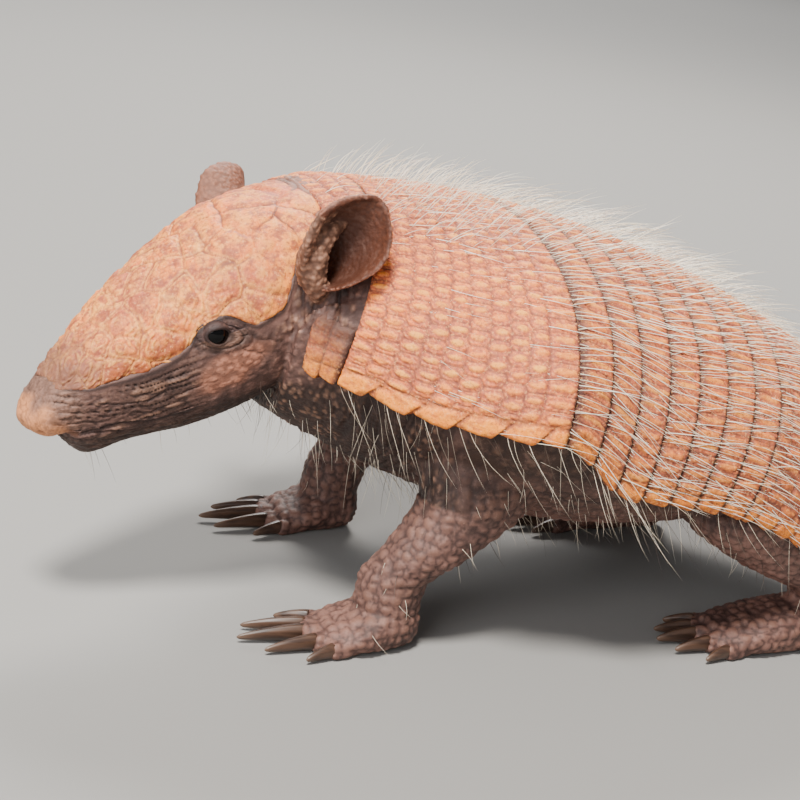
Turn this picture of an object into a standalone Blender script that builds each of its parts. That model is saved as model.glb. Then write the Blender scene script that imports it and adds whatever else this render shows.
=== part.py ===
"""A yellow armadillo as a life-size museum model, standing on the floor with its head turned to its left.

Metres, +Z up. The snout points to -X and the animal's left side is -Y. The floor is Z = 0 and the
origin is under the middle of the animal's box. The back is one curve in the middle plane, and every
plate of the armour is a patch of the surface that rings swept along that curve make.
"""

import bpy
import bmesh
import numpy as np
from math import pi, radians, sin, cos
from mathutils import Matrix, Vector

# ---- driving dimensions, in metres and degrees ----
BACK_TOP = 0.150                # highest point of the back above the floor
SHOULDER = 0.077                # length of the shoulder shield along the back
BAND_COUNT = 7
BANDS = 0.094                   # length of all the moving bands along the back
RUMP = 0.115                    # length of the rump shield along the back
NAPE = 0.040                    # how far the back's curve runs on under the neck band
NECK_BAND = 0.015
PLATE = 0.0022                  # thickness of the armour
GAP = 0.0003                    # the thin cut between neighbours
SEAT = PLATE + 0.0005           # how deep the flesh lies under the armour
RING_POWER = 2.3                # squareness of the armour's arch

HEAD_AT = (-0.0006, 0.0, 0.126)     # middle of the line between the ears
HEAD_YAW = 18.6                     # turned to the animal's left
HEAD_PITCH = 20.9                   # nose down
HEAD_REAR = -0.012                  # where the head's own flesh ends, behind the ear line
HEAD_END = 0.004                    # and where an upright cut ends it, along the body
SNOUT = 0.1105                      # nose tip, in front of the ear line
EYE_AT = (0.0497, 0.0247, -0.0043)  # forward, sideways, up from HEAD_AT, in the head's frame
EYE_RADIUS = 0.0051
EAR_LENGTH = 0.0350
# Each ear, in the head's frame: its root, where it points, and where it opens. The right one lies further back.
EAR_LEFT = ((0.0110, 0.0312, 0.0063), (-0.44, 0.59, 0.68), (0.654, 0.757, 0.05))
EAR_RIGHT = ((0.0050, 0.0215, -0.0020), (-0.52, 0.76, 0.36), (0.70, 0.71, 0.05))
EAR_WALL = 0.0016

TAIL_LENGTH = 0.188
STRIDE_FORE, STRIDE_HIND = 0.012, -0.018    # how far the right feet stand behind the left ones

SHOULDER_END = SHOULDER
BANDS_END = SHOULDER + BANDS
RUMP_END = BANDS_END + RUMP


# ---- helpers ----
def curve(*keys):
    """A smooth function through (place, value) keys that never overshoots them."""
    x, y = np.array(keys, float).T
    slope = np.diff(y) / np.diff(x)
    inner = np.where(slope[1:] * slope[:-1] > 0, 2 * slope[1:] * slope[:-1] / (slope[1:] + slope[:-1] + 1e-12), 0)
    tangent = np.concatenate([[slope[0]], inner, [slope[-1]]])

    def value(t):
        t = np.clip(t, x[0], x[-1])
        i = np.clip(np.searchsorted(x, t) - 1, 0, len(x) - 2)
        step = x[i + 1] - x[i]
        u = (t - x[i]) / step
        return ((1 + 2 * u) * (1 - u) ** 2 * y[i] + u * (1 - u) ** 2 * step * tangent[i]
                + u * u * (3 - 2 * u) * y[i + 1] + u * u * (u - 1) * step * tangent[i + 1])

    return value


def unit(v):
    return np.asarray(v, float) / np.linalg.norm(v)


def material(name, colour, roughness):
    made = bpy.data.materials.new(name)
    made.use_nodes = True
    shader = made.node_tree.nodes["Principled BSDF"]
    shader.inputs["Base Color"].default_value = (*colour, 1.0)
    shader.inputs["Roughness"].default_value = roughness
    made.diffuse_color = (*colour, 1.0)
    return made


def place(name, mesh, finish, cutter=False):
    """Links a mesh as an object, in the model's collection or among the cutters."""
    obj = bpy.data.objects.new(name, mesh)
    (CUTTERS if cutter else MODEL).objects.link(obj)
    obj.parent = ROOT
    if cutter:
        obj.hide_render = True
        obj.display_type = "WIRE"
    else:
        mesh.materials.append(finish)
        mesh.shade_smooth()
        mesh.set_sharp_from_angle(angle=radians(50))
    return obj


def loft(name, rings, finish, cutter=False):
    """One closed solid through rings of points, with a fan over each end.

    It is made of triangles, so that a piece and the room cut for it in its neighbour bend alike.
    """
    bm = bmesh.new()
    rows = [[bm.verts.new(p) for p in ring] for ring in rings]
    count = len(rows[0])
    for a, b in zip(rows, rows[1:]):
        for i in range(count):
            j = (i + 1) % count
            bm.faces.new((a[i], a[j], b[j]))
            bm.faces.new((a[i], b[j], b[i]))
    for row in (rows[0], rows[-1]):
        middle = bm.verts.new(sum((v.co for v in row), Vector()) / count)
        for i in range(count):
            bm.faces.new((row[i], row[(i + 1) % count], middle))
    bmesh.ops.recalc_face_normals(bm, faces=bm.faces)
    mesh = bpy.data.meshes.new(name)
    bm.to_mesh(mesh)
    bm.free()
    return place(name, mesh, finish, cutter)


def plate(name, grid, thickness, finish, cutter=False):
    """An open patch of points, thickened inwards."""
    rows, count = len(grid), len(grid[0])
    points = [tuple(p) for row in grid for p in row]
    faces = []
    for r in range(rows - 1):
        for a in range(r * count, r * count + count - 1):
            b = a + count
            faces += [(a, a + 1, b + 1), (a, b + 1, b)]
    mesh = bpy.data.meshes.new(name)
    mesh.from_pydata(points, [], faces)
    obj = place(name, mesh, finish, cutter)
    shell = obj.modifiers.new("thickness", "SOLIDIFY")
    shell.thickness = thickness
    shell.offset = -1
    shell.use_even_offset = True
    return obj


def cut(obj, *cutters, operation="DIFFERENCE"):
    for cutter in cutters:
        step = obj.modifiers.new(operation.lower(), "BOOLEAN")
        step.operation = operation
        step.object = cutter
        step.solver = "EXACT"
        step.use_self = True


# ---- the back and the rings of the armour ----
slope_of_back = curve((-NAPE, -20), (0, -1), (SHOULDER_END, 8), (BANDS_END, 22),
                      (BANDS_END + 0.075, 38), (RUMP_END, 54))
half_width = curve((-NAPE, 0.038), (0, 0.052), (0.035, 0.077), (SHOULDER_END, 0.095),
                   (BANDS_END, 0.088), (BANDS_END + 0.060, 0.080), (BANDS_END + 0.095, 0.058), (RUMP_END, 0.036))
arch_depth = curve((-NAPE, 0.050), (0, 0.056), (0.035, 0.060), (SHOULDER_END, 0.0565), (SHOULDER_END + 0.035, 0.069),
                   (SHOULDER_END + 0.060, 0.067), (BANDS_END, 0.063), (BANDS_END + 0.060, 0.060),
                   (BANDS_END + 0.095, 0.050), (RUMP_END, 0.036))


def back_curve():
    """Places, heights and slopes along the back, by adding up short steps."""
    s = np.linspace(-NAPE, RUMP_END, 400)
    angle = np.radians(slope_of_back(s))
    step = s[1] - s[0]
    x = np.concatenate([[0], np.cumsum(np.cos((angle[1:] + angle[:-1]) / 2)) * step])
    z = -np.concatenate([[0], np.cumsum(np.sin((angle[1:] + angle[:-1]) / 2)) * step])
    return s, x - np.interp(0, s, x), z - z.max() + BACK_TOP, angle


BACK_S, BACK_X, BACK_Z, BACK_ANGLE = back_curve()


def frame_at(s):
    """A point of the back, and the direction that points out of it there."""
    angle = np.interp(s, BACK_S, BACK_ANGLE)
    point = np.array([np.interp(s, BACK_S, BACK_X), 0.0, np.interp(s, BACK_S, BACK_Z)])
    return point, np.array([sin(angle), 0.0, cos(angle)])


def arch(s, v, inset=0.0):
    """A point of the armour: v runs from -1 at the left edge over the back to 1 at the right edge."""
    point, out = frame_at(s)
    turn = v * pi / 2
    across = np.sign(v) * abs(sin(turn)) ** (2 / RING_POWER)
    down = 1 - abs(cos(turn)) ** (2 / RING_POWER)
    made = point - out * (inset + (arch_depth(s) - inset) * down)
    made[1] = (half_width(s) - inset) * across
    return made


def armour(name, start, end, rows, finish, columns=17, left=-1.0, right=1.0):
    """A plate between two lines across the back. start and end give the line's place for each v."""
    grid = []
    for share in np.linspace(0, 1, rows):
        grid.append([arch(start(v) + (end(v) - start(v)) * share, v)
                     for v in np.linspace(left, right, columns)])
    return plate(name, grid, PLATE, finish)


def shoulder_front(v):
    """The shoulder shield's front edge hollows out round the neck."""
    return 0.003 + 0.016 * (1 - abs(v) ** 1.5)


def level(s):
    return lambda v: s


# ---- the head, in its own frame: forward, left, up ----
head_top = curve((-0.030, 0.0165), (0, 0.0215), (0.022, 0.0232), (0.046, 0.0182), (0.066, 0.0118), (0.086, 0.0022),
                 (0.100, -0.0067), (0.1075, -0.0118), (SNOUT, -0.0150))
head_bottom = curve((-0.030, -0.034), (0, -0.0365), (0.022, -0.0390), (0.046, -0.0420), (0.062, -0.0412),
                    (0.072, -0.0388), (0.083, -0.0352), (0.092, -0.0312), (0.100, -0.0270), (0.1075, -0.0248),
                    (SNOUT, -0.0215))
head_half_width = curve((-0.030, 0.031), (0, 0.034), (0.022, 0.0335), (0.046, 0.0298), (0.066, 0.0242),
                        (0.086, 0.0175), (0.100, 0.0128), (0.1075, 0.0098), (SNOUT, 0.0060))
chin = curve((0.050, 0), (0.070, 0.0005), (0.083, 0.0026), (0.091, 0.0062), (0.0960, 0.0078), (0.0985, 0.0058),
             (0.1005, 0.0010))      # how much deeper the lower lip is than the muzzle over it
shield_edge = curve((-0.006, 0.42), (0, 0.62), (0.008, 0.80), (0.017, 1.00), (0.022, 1.21), (0.028, 1.37),
                    (0.036, 1.38), (0.047, 1.12), (0.054, 1.12), (0.061, 1.28), (0.071, 1.33), (0.091, 1.16),
                    (0.101, 0.62))
SHIELD_REAR, SHIELD_FRONT = -0.005, 0.1005
MIDDLE = 0.45                   # height of the widest line, from the bottom to the top


def head_frame():
    """The head's directions in the model's frame: forward, left and up as columns."""
    yaw, pitch = radians(HEAD_YAW), radians(HEAD_PITCH)
    forward = np.array([-cos(yaw) * cos(pitch), -sin(yaw) * cos(pitch), -sin(pitch)])
    left = np.array([sin(yaw), -cos(yaw), 0.0])
    up = -np.cross(forward, left)
    up = up if up[2] > 0 else -up
    return np.column_stack([forward, left, up])


HEAD_AXES = head_frame()


def from_head(p):
    return HEAD_AXES @ np.asarray(p, float) + np.array(HEAD_AT)


def head_point(x, turn, grow=0.0, deeper=0.0):
    """A point of the head's skin: turn is 0 on top, pi/2 on the left and pi underneath."""
    top, bottom = head_top(x) + grow, head_bottom(x) - grow
    middle = top * MIDDLE + bottom * (1 - MIDDLE)
    c, s = cos(turn), sin(turn)
    reach = (top - middle) if c > 0 else (middle - bottom + deeper)
    y = (head_half_width(x) + grow) * np.sign(s) * abs(s) ** 0.85
    return from_head((x, y, middle + np.sign(c) * reach * abs(c) ** 0.9))


def head_ring(x, grow=0.0, count=24, deeper=0.0):
    return [head_point(x, turn, grow, deeper) for turn in np.linspace(0, 2 * pi, count, endpoint=False)]


def build_head(skin, shell, dark):
    stations = [HEAD_REAR, 0.002, 0.012, 0.022, 0.034, 0.047, 0.058, 0.070, 0.083, 0.092, 0.1004, 0.1046, 0.1082,
                SNOUT]
    head = loft("head", [head_ring(x) for x in stations], skin)

    # The shield is let into the head.
    places = [SHIELD_REAR, 0.002, 0.012, 0.022, 0.028, 0.037, 0.047, 0.057, 0.070, 0.083, 0.092, SHIELD_FRONT]
    spread = np.linspace(1, -1, 11)
    shield = plate("head_shield", [[head_point(x, f * shield_edge(x)) for f in spread] for x in places],
                   PLATE, shell)
    above = 0.0015
    room = [[head_point(x, f * (shield_edge(x) + 0.034), above) for f in spread]
            for x in (places[0] - 2 * GAP, *places[1:-1], places[-1] + 0.0012)]
    cut(head, plate("shield_room", room, above + PLATE + GAP, None, cutter=True), back_of_head("head_end", 0.0))

    # The mouth is a thin cut: the jaw is what lies under it.
    slit = curve((0.050, -0.0275), (0.072, -0.0285), (0.088, -0.0255), (0.100, -0.0250))
    places = (0.058, 0.066, 0.074, 0.084, 0.092, 0.1004)

    def wedge(name, shift, front):
        rings = []
        for x in (*places[:-1], front):
            rings.append([from_head(p) for p in ((x, -0.04, slit(x) + shift), (x, 0.04, slit(x) + shift),
                                                 (x, 0.04, -0.06), (x, -0.04, -0.06))])
        return loft(name, rings, None, cutter=True)

    jaw = loft("jaw", [head_ring(x, count=18, deeper=chin(x)) for x in (0.050, 0.058, 0.068, 0.078, 0.086, 0.0915,
                                                                        0.0960, 0.0985, 0.1008)], skin)
    cut(jaw, wedge("jaw_part", -GAP, places[-1] - 0.0006), operation="INTERSECT")
    room = wedge("jaw_room", 0.0, places[-1])
    cut(head, room)
    for vertex in room.data.vertices[:4]:
        vertex.co += Vector(HEAD_AXES[:, 0]) * -GAP

    for side, name in ((1, "left"), (-1, "right")):
        centre = from_head((EYE_AT[0], side * EYE_AT[1], EYE_AT[2]))
        for label, radius, hidden in (("eye_" + name, EYE_RADIUS, False), ("socket_" + name, EYE_RADIUS + GAP, True)):
            bm = bmesh.new()
            bmesh.ops.create_uvsphere(bm, u_segments=12, v_segments=8, radius=radius)
            bmesh.ops.translate(bm, verts=bm.verts, vec=centre)
            mesh = bpy.data.meshes.new(label)
            bm.to_mesh(mesh)
            bm.free()
            ball = place(label, mesh, dark, cutter=hidden)
            if hidden:
                cut(head, ball)
                cut(shield, ball)
    return head, shield


def armour_room(name, places, reach):
    """The room that the armour takes up between some places along the back, and some air outside it."""
    grid = [[arch(s, v, -reach) for v in np.linspace(-1, 1, 17)] for s in places]
    return plate(name, grid, reach + PLATE + GAP, None, cutter=True)


def back_of_head(name, grow):
    """A block behind the head. Its front stands upright and square to the body."""
    front, rear = HEAD_END + grow, 0.060
    return loft(name, [[(x, -0.08, 0.03), (x, 0.08, 0.03), (x, 0.08, 0.18), (x, -0.08, 0.18)]
                       for x in (front, rear)], None, cutter=True)


def build_ears(skin, *rooms):
    """Each ear is a leaf that is rolled into a tube at its root and opens to a cup."""
    half_arc = curve((0, 0.0190), (0.35, 0.0235), (0.65, 0.0210), (0.86, 0.0137), (1, 0.0042))
    curl = curve((0, 2.60), (0.30, 2.25), (0.65, 1.58), (1, 0.92))
    # Each row: place along the ear, share of the width, and how deep it is sunk into the head.
    rows = ((0.0, 0.84, 0.0030), (0.12, 1.0, 0.0), (0.28, 1.0, 0.0), (0.47, 1.0, 0.0), (0.67, 1.0, 0.0),
            (0.86, 1.0, 0.0), (1.0, 1.0, 0.0))
    for side, name, pose in ((1, "left", EAR_LEFT), (-1, "right", EAR_RIGHT)):
        root, up, out = (np.array((p[0], p[1] * side, p[2])) for p in pose)
        up = unit(up)
        out = unit(out - up * (out @ up))
        across = np.cross(up, out) * side
        grid = []
        for t, width, sunk in rows:
            bend_most = curl(t)
            radius = half_arc(t) / bend_most
            middle = root + up * EAR_LENGTH * t + out * (radius - sunk)
            row = []
            for u in np.linspace(-1, 1, 10):
                bend = u * bend_most
                row.append(from_head(middle + (across * sin(bend) - out * cos(bend)) * radius * width
                                     - up * EAR_LENGTH * t * 0.07 * u * u * (1 - t)))
            grid.append(row[::side])
        ear = plate("ear_" + name, grid, EAR_WALL, skin)
        cut(ear, *rooms)


# ---- trunk, neck and tail ----
TRUNK_FRONT = 0.022             # where along the back the trunk begins and the neck ends
TRUNK_REACH = 0.80              # how far round the arch the flesh follows the armour
TRUNK_END = RUMP_END - 0.004
belly_x = curve((-0.012, -0.009), (TRUNK_FRONT, 0.021), (0.050, 0.047), (0.077, 0.070), (0.100, 0.090),
                (0.124, 0.109), (0.150, 0.129), (0.171, 0.144), (0.190, 0.157), (0.210, 0.170), (0.231, 0.183),
                (0.246, 0.193), (0.260, 0.202), (0.272, 0.211), (RUMP_END, 0.221))
belly_taper = curve((-0.012, 1.0), (0.050, 1.30), (0.124, 1.15), (0.171, 1.45), (0.231, 1.9), (RUMP_END, 1.2))
belly_z = curve((-0.012, 0.070), (TRUNK_FRONT, 0.054), (0.050, 0.044), (0.077, 0.038), (0.100, 0.035),
                (0.150, 0.034), (0.190, 0.036), (0.231, 0.040), (RUMP_END, 0.046))
YAW_LEAN = 0.011                # how far the neck's line round the head leans, so that it stands square to the body
# How far the neck's skin runs on past the front of the shoulder shield: under the neck bands, not at the ears.
collar = curve((0, -NECK_BAND), (0.42, -NECK_BAND), (0.50, 0), (0.68, 0), (0.76, -NECK_BAND), (1, -NECK_BAND))


def trunk_ring(s, grow=0.0):
    """Under the armour the flesh follows it; below it the belly closes the ring."""
    ring = [arch(s, v, SEAT - grow) for v in np.linspace(-TRUNK_REACH, TRUNK_REACH, 15)]
    edge = ring[-1].copy()
    belly = np.array([belly_x(s), 0, belly_z(s) - grow])
    for turn in np.linspace(0, pi, 10)[1:-1]:
        low = edge + (belly - edge) * sin(turn) ** 0.8
        low[1] = edge[1] * np.sign(cos(turn)) * abs(cos(turn)) ** belly_taper(s)
        ring.append(low)
    return ring


def build_trunk(skin):
    stations = [TRUNK_FRONT, 0.036, 0.054, 0.077, 0.100, 0.124, 0.150, 0.171, 0.194, 0.217, 0.238, 0.256, 0.271,
                TRUNK_END]
    trunk = loft("trunk", [trunk_ring(s) for s in stations], skin)
    stations = [TRUNK_FRONT - GAP, *stations[1:-1], TRUNK_END + GAP]
    return trunk, loft("trunk_room", [trunk_ring(s, GAP) for s in stations], None, cutter=True)


def neck_rings(grow):
    """The neck spreads from inside the head to the collar and runs on under the armour to the trunk."""
    turns = np.concatenate([np.linspace(1.9, -1.9, 15), np.linspace(-1.9, 1.9 - 2 * pi, 10)[1:-1]])
    inside = [head_point(0.017 + YAW_LEAN * sin(turn), turn, grow - 0.0040) for turn in turns]
    front, middle = trunk_ring(-0.012, grow), trunk_ring(0.006, grow)
    rear = trunk_ring(TRUNK_FRONT - GAP, grow)
    for i, v in enumerate(np.linspace(-TRUNK_REACH, TRUNK_REACH, 15)):
        start = shoulder_front(v) + collar(abs(v))
        front[i] = arch(start, v, SEAT - grow)
        middle[i] = arch((start + TRUNK_FRONT) / 2, v, SEAT - grow)
    between = [a * 0.4 + b * 0.6 for a, b in zip(inside, front)]
    return [inside, between, front, middle, rear]


def build_neck(skin, head_room):
    neck = loft("neck", neck_rings(0.0), skin)
    cut(neck, head_room)
    return loft("neck_room", neck_rings(GAP), None, cutter=True)


def tail_path():
    """Centres and radii from the root, which dips out of the rump, to the tip just above the floor."""
    root, out = frame_at(RUMP_END - 0.012)
    start = root - out * 0.0205
    fall = curve((0, -42), (0.2, -24), (0.45, -9), (0.75, -2), (1, 3))
    radius = curve((0, 0.0150), (0.15, 0.0142), (0.5, 0.0105), (0.85, 0.0070), (1, 0.0042))
    side = curve((0, 0), (0.5, 2), (1, 16))
    count = 15
    step = TAIL_LENGTH / (count - 1)
    path, here = [], start
    for i in range(count):
        t = i / (count - 1)
        down, turn = radians(fall(t)), radians(side(t))
        along = np.array([cos(down) * cos(turn), cos(down) * sin(turn), sin(down)])
        path.append((here.copy(), along, float(radius(t))))
        here = here + along * step
    print("tail tip stands above the floor by", round((path[-1][0][2] - path[-1][2]) * 1000, 1), "mm")
    return path


def tail_ring(point, along, radius, shift=0.0, count=10):
    side = unit(np.cross(along, (0, 0, 1)))
    up = np.cross(side, along)
    return [point + along * shift + (side * cos(a) + up * sin(a)) * radius
            for a in np.linspace(0, 2 * pi, count, endpoint=False)]


def build_tail(shell, trunk_room, rump_room):
    path = tail_path()
    cuts = (("tail_base", 0, 4), ("tail_middle", 4, 9), ("tail_tip", 9, len(path) - 1))
    for name, first, last in cuts:
        rings = []
        for i in range(first, last + 1):
            point, along, radius = path[i]
            shift = GAP / 2 * ((i == first and first > 0) - (i == last and last < len(path) - 1))
            rings.append(tail_ring(point, along, radius, shift))
        if last == len(path) - 1:
            point, along, radius = path[-1]
            rings.append(tail_ring(point, along, radius * 0.55, 0.0022))
        piece = loft(name, rings, shell)
        if first == 0:
            cut(piece, trunk_room, rump_room)


# ---- legs ----
def limb_ring(point, fore, side, count=10):
    """A level ring: fore is its radius front to back and side is its radius across."""
    return [np.asarray(point) + np.array([fore * sin(a), side * cos(a), 0.0])
            for a in np.linspace(0, 2 * pi, count, endpoint=False)]


def toe_ring(point, aim, radius, count=6):
    """A ring square to a toe, pressed flat where it meets the floor."""
    across = np.array([-aim[1], aim[0], 0.0])
    return on_floor([point + across * radius * cos(a) + np.array([0, 0, radius * 1.05 * sin(a)])
                     for a in np.linspace(0, 2 * pi, count, endpoint=False)])


def limb(names, stations, skin, joint):
    """Two pieces of one leg in level rings, parted at a joint. The last ring is where the foot begins."""
    last = len(stations) - 1
    pieces = []
    for name, first, end in ((names[0], 0, joint), (names[1], joint, last)):
        rings = []
        for i in range(first, end + 1):
            x, y, z, fore, side = stations[i]
            shift = GAP / 2 * ((i == end) - (i == joint and first == joint))
            rings.append(limb_ring((x, y, z + shift), fore, side))
        pieces.append(loft(name, rings, skin))
    return pieces


def on_floor(ring):
    return [np.array([p[0], p[1], max(p[2], 0.0)]) for p in ring]


def foot_ring(x, y, z, half, height, power=0.72, count=10):
    """A flat-bottomed ring across the foot."""
    return on_floor([np.array([x, y + half * np.sign(cos(a)) * abs(cos(a)) ** power, z + height * sin(a)])
                     for a in np.linspace(0, 2 * pi, count, endpoint=False)])


def claw(name, root, aim, length, thick, drop, finish):
    """A tapering hook with a flat root that stands against its toe."""
    forward = unit(aim)
    side = unit(np.cross(forward, (0, 0, 1)))
    rings = []
    for t in (0, 0.4, 0.75, 1.0):
        size = thick * (1 - t) ** 0.7 + 0.00045
        centre = np.asarray(root) + forward * length * t - np.array([0, 0, 1]) * drop * t ** 1.7
        tilt = unit(forward * length - np.array([0, 0, 1]) * drop * 1.7 * t ** 0.7)
        up = np.cross(side, tilt)
        rings.append([centre + side * size * 0.72 * cos(a) + up * size * 1.15 * sin(a)
                      for a in np.linspace(0, 2 * pi, 6, endpoint=False)])
    for ring in rings:
        for p in ring:
            p[2] = max(p[2], 0.0004)
    return loft(name, rings, finish)


def foot(name, heel_x, toe_x, y, side, sections, toes, ankle, skin, horn):
    """A flat-soled foot with five toes and an ankle joined on, and a claw against the end of each toe."""
    sole = loft(name, [foot_ring(heel_x + (toe_x - heel_x) * t, y, z, half, height)
                       for t, z, half, height in sections], skin)
    for number, (offset, reach, thick, length, splay) in enumerate(toes, 1):
        aim = np.array([-cos(radians(splay)), sin(radians(splay)) * side, 0])
        end = np.array([toe_x - reach, y + offset * side, thick * 0.95])
        stations = (end - aim * (0.012 + reach), end - aim * (0.004 + reach * 0.5), end)
        rings = [toe_ring(p, aim, thick * k) for p, k in zip(stations, (0.9, 1.0, 0.80))]
        cut(sole, loft(f"{name}_toe_{number}", rings, None, cutter=True), operation="UNION")
        claw(f"{name}_claw_{number}", end + aim * GAP + np.array([0, 0, 0.0006]), aim, length, thick * 0.62,
             thick * 0.50, horn)
    x, y, z, fore, across = ankle
    rings = [limb_ring((x, y, height), fore * k, across * k)
             for height, k in ((0.004, 0.86), (0.014, 0.97), (z - GAP / 2, 1.0))]
    cut(sole, loft(f"{name}_ankle", rings, None, cutter=True), operation="UNION")
    return sole


def build_legs(skin, horn, trunk_room, rump_room):
    # Each toe: across from the foot's middle, reach past the sole, thickness, claw length, splay in degrees.
    fore_toes = ((-0.0132, 0.0015, 0.0032, 0.011, -20), (-0.0068, 0.0060, 0.0036, 0.020, -8),
                 (0.0, 0.0075, 0.0039, 0.022, 0), (0.0069, 0.0055, 0.0036, 0.017, 9),
                 (0.0133, 0.0005, 0.0032, 0.010, 22))
    hind_toes = ((-0.0133, 0.0005, 0.0033, 0.010, -18), (-0.0068, 0.0050, 0.0037, 0.013, -7),
                 (0.0, 0.0070, 0.0040, 0.014, 0), (0.0069, 0.0050, 0.0037, 0.013, 8),
                 (0.0134, 0.0, 0.0033, 0.010, 20))
    # Each section: share from heel to toes, height of its middle, half width, half height.
    fore_sole = ((0, 0.0095, 0.0080, 0.0080), (0.30, 0.0088, 0.0118, 0.0095), (0.70, 0.0060, 0.0148, 0.0064),
                 (1, 0.0044, 0.0108, 0.0044))
    hind_sole = ((0, 0.0085, 0.0066, 0.0080), (0.12, 0.0095, 0.0100, 0.0098), (0.45, 0.0086, 0.0120, 0.0098),
                 (0.78, 0.0062, 0.0146, 0.0068), (1, 0.0046, 0.0112, 0.0046))
    for side, name, fore_step, hind_step in ((-1, "left", 0, 0), (1, "right", STRIDE_FORE, STRIDE_HIND)):
        # x, y, z, radius front to back, radius across
        arm = [(0.062 + fore_step * 0.2, side * 0.040, 0.090, 0.026, 0.020),
               (0.062 + fore_step * 0.4, side * 0.050, 0.072, 0.0255, 0.0195),
               (0.058 + fore_step * 0.7, side * 0.055, 0.054, 0.0200, 0.0160),
               (0.046 + fore_step * 0.9, side * 0.0555, 0.038, 0.0158, 0.0130),
               (0.034 + fore_step, side * 0.053, 0.0235, 0.0120, 0.0112)]
        upper, forearm = limb((f"foreleg_{name}", f"forearm_{name}"), arm, skin, 2)
        cut(upper, trunk_room)
        cut(forearm, trunk_room)
        foot(f"forefoot_{name}", 0.044 + fore_step, 0.011 + fore_step, side * 0.053, side, fore_sole, fore_toes,
             arm[-1], skin, horn)

        leg = [(0.184 + hind_step * 0.2, side * 0.042, 0.078, 0.028, 0.018),
               (0.178 + hind_step * 0.4, side * 0.054, 0.064, 0.030, 0.0205),
               (0.168 + hind_step * 0.7, side * 0.060, 0.050, 0.0275, 0.0185),
               (0.184 + hind_step * 0.9, side * 0.060, 0.035, 0.0215, 0.0142),
               (0.205 + hind_step, side * 0.058, 0.0215, 0.0135, 0.0115)]
        thigh, shank = limb((f"thigh_{name}", f"shank_{name}"), leg, skin, 2)
        cut(thigh, trunk_room, rump_room)
        cut(shank, trunk_room, rump_room)
        foot(f"hindfoot_{name}", 0.217 + hind_step, 0.160 + hind_step, side * 0.058, side, hind_sole, hind_toes,
             leg[-1], skin, horn)


# ---- build ----
def clear_scene():
    for obj in list(bpy.data.objects):
        bpy.data.objects.remove(obj, do_unlink=True)


def collection(name):
    made = bpy.data.collections.new(name)
    bpy.context.scene.collection.children.link(made)
    return made


def centre_on_floor():
    """Moves the whole animal so that the origin is under the middle of its box."""
    bpy.context.view_layer.update()
    graph = bpy.context.evaluated_depsgraph_get()
    corners = [o.matrix_world @ Vector(c) for o in MODEL.objects for c in o.evaluated_get(graph).bound_box]
    middle = [(min(c[i] for c in corners) + max(c[i] for c in corners)) / 2 for i in (0, 1)]
    ROOT.location = (-middle[0], -middle[1], 0)
    print("shift of the model onto its origin:", [round(v, 5) for v in ROOT.location])


clear_scene()
MODEL, CUTTERS = collection("armadillo"), collection("cutters")
ROOT = bpy.data.objects.new("armadillo_origin", None)
MODEL.objects.link(ROOT)


def main():
    shell = material("shell", (0.63, 0.33, 0.19), 0.55)
    skin = material("skin", (0.26, 0.17, 0.13), 0.65)
    horn = material("horn", (0.22, 0.16, 0.11), 0.40)
    dark = material("eye", (0.012, 0.010, 0.010), 0.08)

    trunk, trunk_room = build_trunk(skin)
    head, shield = build_head(skin, shell, dark)
    head_room = loft("head_room", [head_ring(x, grow=GAP * 1.5) for x in
                                   (HEAD_REAR - GAP, 0.002, 0.012, 0.022, 0.034, 0.047, 0.058)], None, cutter=True)
    cut(head_room, back_of_head("head_room_end", GAP))
    neck_room = build_neck(skin, head_room)

    front, rear = (lambda v: shoulder_front(v) - NECK_BAND), (lambda v: shoulder_front(v) - 2 * GAP)
    armour("neck_band", front, rear, 2, shell, 9, -0.44, 0.44)
    armour("neck_band_left", front, rear, 2, shell, 5, -1.0, -0.75)
    armour("neck_band_right", front, rear, 2, shell, 5, 0.75, 1.0)
    armour("shoulder_shield", shoulder_front, level(SHOULDER_END - GAP), 6, shell)
    pitch = BANDS / BAND_COUNT
    for i in range(BAND_COUNT):
        first = SHOULDER_END + i * pitch
        armour(f"band_{i + 1}", level(first), level(first + pitch - GAP), 2, shell)
    armour("rump_shield", level(BANDS_END), level(RUMP_END), 8, shell)

    front_room = armour_room("front_room", (-0.014, 0.0, 0.020, 0.045), GAP)
    rump_room = armour_room("rump_room", (BANDS_END - 0.02, *np.linspace(BANDS_END, RUMP_END, 7)), 0.006)
    build_ears(skin, head_room, neck_room, trunk_room, front_room)
    build_tail(shell, trunk_room, rump_room)
    build_legs(skin, horn, trunk_room, rump_room)
    centre_on_floor()


main()
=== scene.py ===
# %% [markdown]
# # A life-size armadillo
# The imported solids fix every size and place. This script dresses them: one wrinkled skin over the
# flesh, armour made of many small scutes, glossy eyes, horny claws and a thin coat of stiff bristles.
# Each step first says what the piece is on the animal, and then why it is made this way.

# %% Load the solids
from math import cos, pi, radians, sin

import bpy
import numpy as np
from mathutils import Matrix, Vector
from mathutils.kdtree import KDTree


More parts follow.
